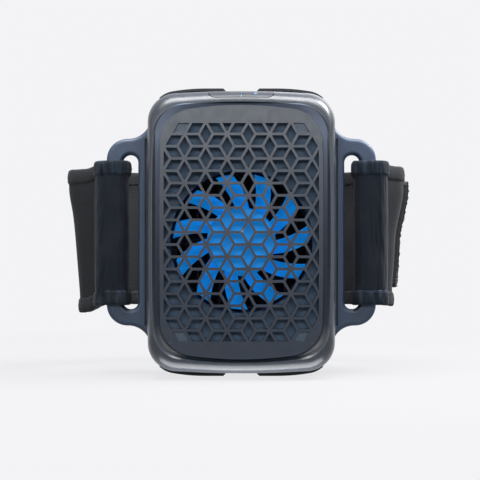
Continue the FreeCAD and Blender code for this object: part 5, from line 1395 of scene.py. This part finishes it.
    def on_tail(self, out: float, y: float, height: float) -> Vector:
        """A point over the outer face of the right-hand tail, in metres.

        Args:
            out: how far it stands off the tail's binding.
            y: place front to rear.
            height: height above the band's middle.

        Returns:
            The point in the machine's frame.
        """
        (end, _), (bend, _) = self.line.corners(Side.RIGHT, height)[:2]
        middle = end.lerp(bend, (end.y - y) / (end.y - bend.y))
        return self.drape.place(middle.x + self.band_thick + self.band_puff + out, y, height)

    def hook_pad(self) -> bpy.types.Object:
        """Patch of stiff hooks sewn on the outside of the right-hand tail.

        Returns:
            The pad's ground and hooks as one piece.
        """
        rear, pitch = self.line.tail_end, self.hook_pitch
        low, high = self.hook_rise - self.hook_half, self.hook_rise + self.hook_half
        patch = MeshSketch()
        self.add_ground(patch, rear)
        for row in range(round(self.hook_length / pitch) + 1):
            for column in range(round(2 * self.hook_half / pitch)):
                y = rear - self.hook_length + row * pitch + 0.3
                stagger = 0.5 * (row % 2)
                height = low + (column + 0.5 + stagger) * pitch
                if y < rear - 0.2 and height < high - 0.2:
                    self.add_hook(patch, y, height)
        return patch.piece("hook_patch")

    def add_ground(self, patch: MeshSketch, rear: float, steps: int = 56) -> None:
        """Woven ground of the hook pad, with rounded corners and a frayed outline.

        Args:
            patch: the pad in the making.
            rear: place of the tail's end, front to rear.
            steps: how many steps go up the pad.
        """
        thick, corner = self.pad_thick, self.pad_corner
        rows = []
        for k in range(steps + 1):
            share = 2 * k / steps - 1
            height = self.hook_rise + self.hook_half * share
            into = max(0.0, self.hook_half * abs(share) - self.hook_half + corner) / corner
            inset = corner * (1 - math.sqrt(1 - into * into))
            fray = [0.16 * uneven(k * 0.9, place, 4.0) for place in (1.0, 5.0)]
            front, back = rear - self.hook_length + inset + fray[0], rear - inset + fray[1]
            ring = ((front, -0.4), (front, thick), (front + 0.3, thick + 0.15),
                    (back - 0.3, thick + 0.15), (back, thick), (back, -0.4))
            rows.append([patch.point(self.on_tail(out, y, height)) for y, out in ring])
        patch.skin(rows)

    def add_hook(self, patch: MeshSketch, y: float, height: float) -> None:
        """One hook: a leaning four-sided stem with a wider tip.

        Args:
            patch: the pad in the making.
            y: place of its foot, front to rear.
            height: height of its foot above the band's middle.
        """
        lean = 0.25 * uneven(y * 1.7, height * 1.3, 8.0)
        tip = 1.95 + 0.75 * uneven(y * 0.2, height * 0.8, 2.0)
        patch.skin([
            [patch.point(self.on_tail(out, y + lean * out + wide * a, height + wide * b))
             for a, b in ((1, 1), (-1, 1), (-1, -1), (1, -1))]
            for out, wide in ((self.pad_thick, 0.24), (tip - 0.2, 0.20), (tip, 0.30))])


# ---------------- studio


@dataclass
class Lamp:
    """One soft panel lamp."""

    name: str
    place: Point
    aim: Point
    width: float
    height: float
    power: float
    colour: Colour = (1.0, 1.0, 1.0)

    def hang(self) -> None:
        """Put the lamp into the scene and turn it to what it lights."""
        data = bpy.data.lights.new(self.name, "AREA")
        data.shape = "RECTANGLE"
        data.size, data.size_y = self.width, self.height
        data.energy = self.power
        data.color = self.colour
        lamp = put(self.name, data)
        lamp.location = self.place
        look = Vector(self.aim) - Vector(self.place)
        lamp.rotation_euler = look.to_track_quat("-Z", "Y").to_euler()
        lamp.visible_camera = False


@dataclass
class Studio:
    """Pale seamless bowl, soft lamps and the camera in front of the grille."""

    floor_radius: float = 1.7
    bowl_radius: float = 0.8
    bowl_steps: int = 8
    rim: float = 0.5
    camera_distance: float = 0.640
    front_y: float = -0.050
    lens: float = 126.3
    sensor: float = 36.0
    shift_x: float = -0.0027
    shift_y: float = -0.01625
    backdrop: Colour = (0.896, 0.896, 0.913)
    ground: Colour = (0.185, 0.185, 0.189)
    ground_lift: float = 0.84
    sky: Colour = (0.84, 0.92, 1.0)
    ambient: float = 0.30

    def build(self) -> None:
        """Make the ground, the lamps, the surrounding light and the camera."""
        self.make_ground()
        self.light_world()
        for lamp in self.lamps():
            lamp.hang()
        self.set_camera()

    def lamps(self) -> list[Lamp]:
        """The soft panels round the machine.

        Returns:
            The lamps, not hung yet.
        """
        middle = (0.0, 0.0, CENTRE_Z)
        warm, cool = (1.0, 0.97, 0.92), (0.92, 0.96, 1.0)
        return [
            Lamp("high_front", (-0.05, -0.82, 0.31), middle, 0.90, 0.16, 4.4),
            Lamp("overhead", (0.0, -0.17, 0.66), middle, 0.70, 0.40, 18.5),
            Lamp("high_right", (0.50, 0.06, 0.60), middle, 0.30, 0.30, 14.0),
            Lamp("foot_strip", (0.0, -0.0470, 0.0004), (0.0, -0.0467, 0.0200), 0.074, 0.007,
                 0.013),
            Lamp("left_strip", (-0.62, -0.34, 0.10), middle, 0.12, 0.60, 1.3, warm),
            Lamp("right_strip", (0.62, -0.30, 0.14), middle, 0.12, 0.60, 1.1, cool),
            Lamp("rear_fill", (0.30, 0.80, 0.50), middle, 0.60, 0.60, 2.0),
        ]

    def make_ground(self) -> None:
        """Floor disc with its rim drawn up into a seamless bowl."""
        bpy.ops.object.select_all(action="DESELECT")
        bpy.ops.mesh.primitive_circle_add(vertices=96, radius=self.floor_radius,
                                          fill_type="NGON", location=(0.0, 0.0, 0.0))
        ground = bpy.context.object
        ground.name = "studio_ground"
        bpy.ops.object.mode_set(mode="EDIT")
        bpy.ops.mesh.select_all(action="SELECT")
        bpy.ops.mesh.region_to_loop()
        angles = [math.pi / 2 * step / self.bowl_steps for step in range(self.bowl_steps + 1)]
        for before, angle in zip(angles, angles[1:]):
            out = self.floor_radius + self.bowl_radius * math.sin(angle)
            was = self.floor_radius + self.bowl_radius * math.sin(before)
            self.raise_rim(self.bowl_radius * (math.cos(before) - math.cos(angle)))
            bpy.ops.transform.resize(value=(out / was, out / was, 1.0))
        self.raise_rim(self.rim)
        bpy.ops.object.mode_set(mode="OBJECT")
        bpy.ops.object.shade_smooth()
        finish = StudioGround("studio_paper", self.backdrop, self.ground, self.ground_lift)
        ground.data.materials.append(finish.make())
        LOG.info("studio: ground made")

    @staticmethod
    def raise_rim(height: float) -> None:
        """Draw the ground's open edge straight up."""
        bpy.ops.mesh.extrude_edges_move(TRANSFORM_OT_translate={"value": (0, 0, height)})

    def light_world(self) -> None:
        """Even light from all round, with a pale background behind the machine."""
        world = bpy.data.worlds.new("studio_world")
        world.use_nodes = True
        net = NodeNet(world.node_tree, "ShaderNodeOutputWorld")
        soft = net.node("ShaderNodeBackground", Color=self.sky, Strength=self.ambient)
        pale = net.node("ShaderNodeBackground", Color=self.backdrop)
        net.crossfade(net.seen_rays(), soft.outputs[0], pale.outputs[0])
        bpy.context.scene.world = world

    def set_camera(self) -> None:
        """Camera straight in front of the grille."""
        data = bpy.data.cameras.new("front_camera")
        data.lens, data.sensor_width = self.lens, self.sensor
        data.shift_x, data.shift_y = self.shift_x, self.shift_y
        data.clip_start, data.clip_end = 0.01, 20.0
        camera = put("front_camera", data)
        camera.location = (0.0, self.front_y - self.camera_distance, CENTRE_Z)
        camera.rotation_euler = (math.pi / 2, 0.0, 0.0)
        bpy.context.scene.camera = camera


def main() -> None:
    """Dress the machine's solids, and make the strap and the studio."""
    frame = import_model()
    bpy.context.scene.view_settings.view_transform = "Standard"
    for group in MACHINE:
        group.dress(frame["nodes"])
    Strap().build()
    Studio().build()
    bpy.context.view_layer.update()
    LOG.info("sizes written")


if __name__ == "__main__":
    main()
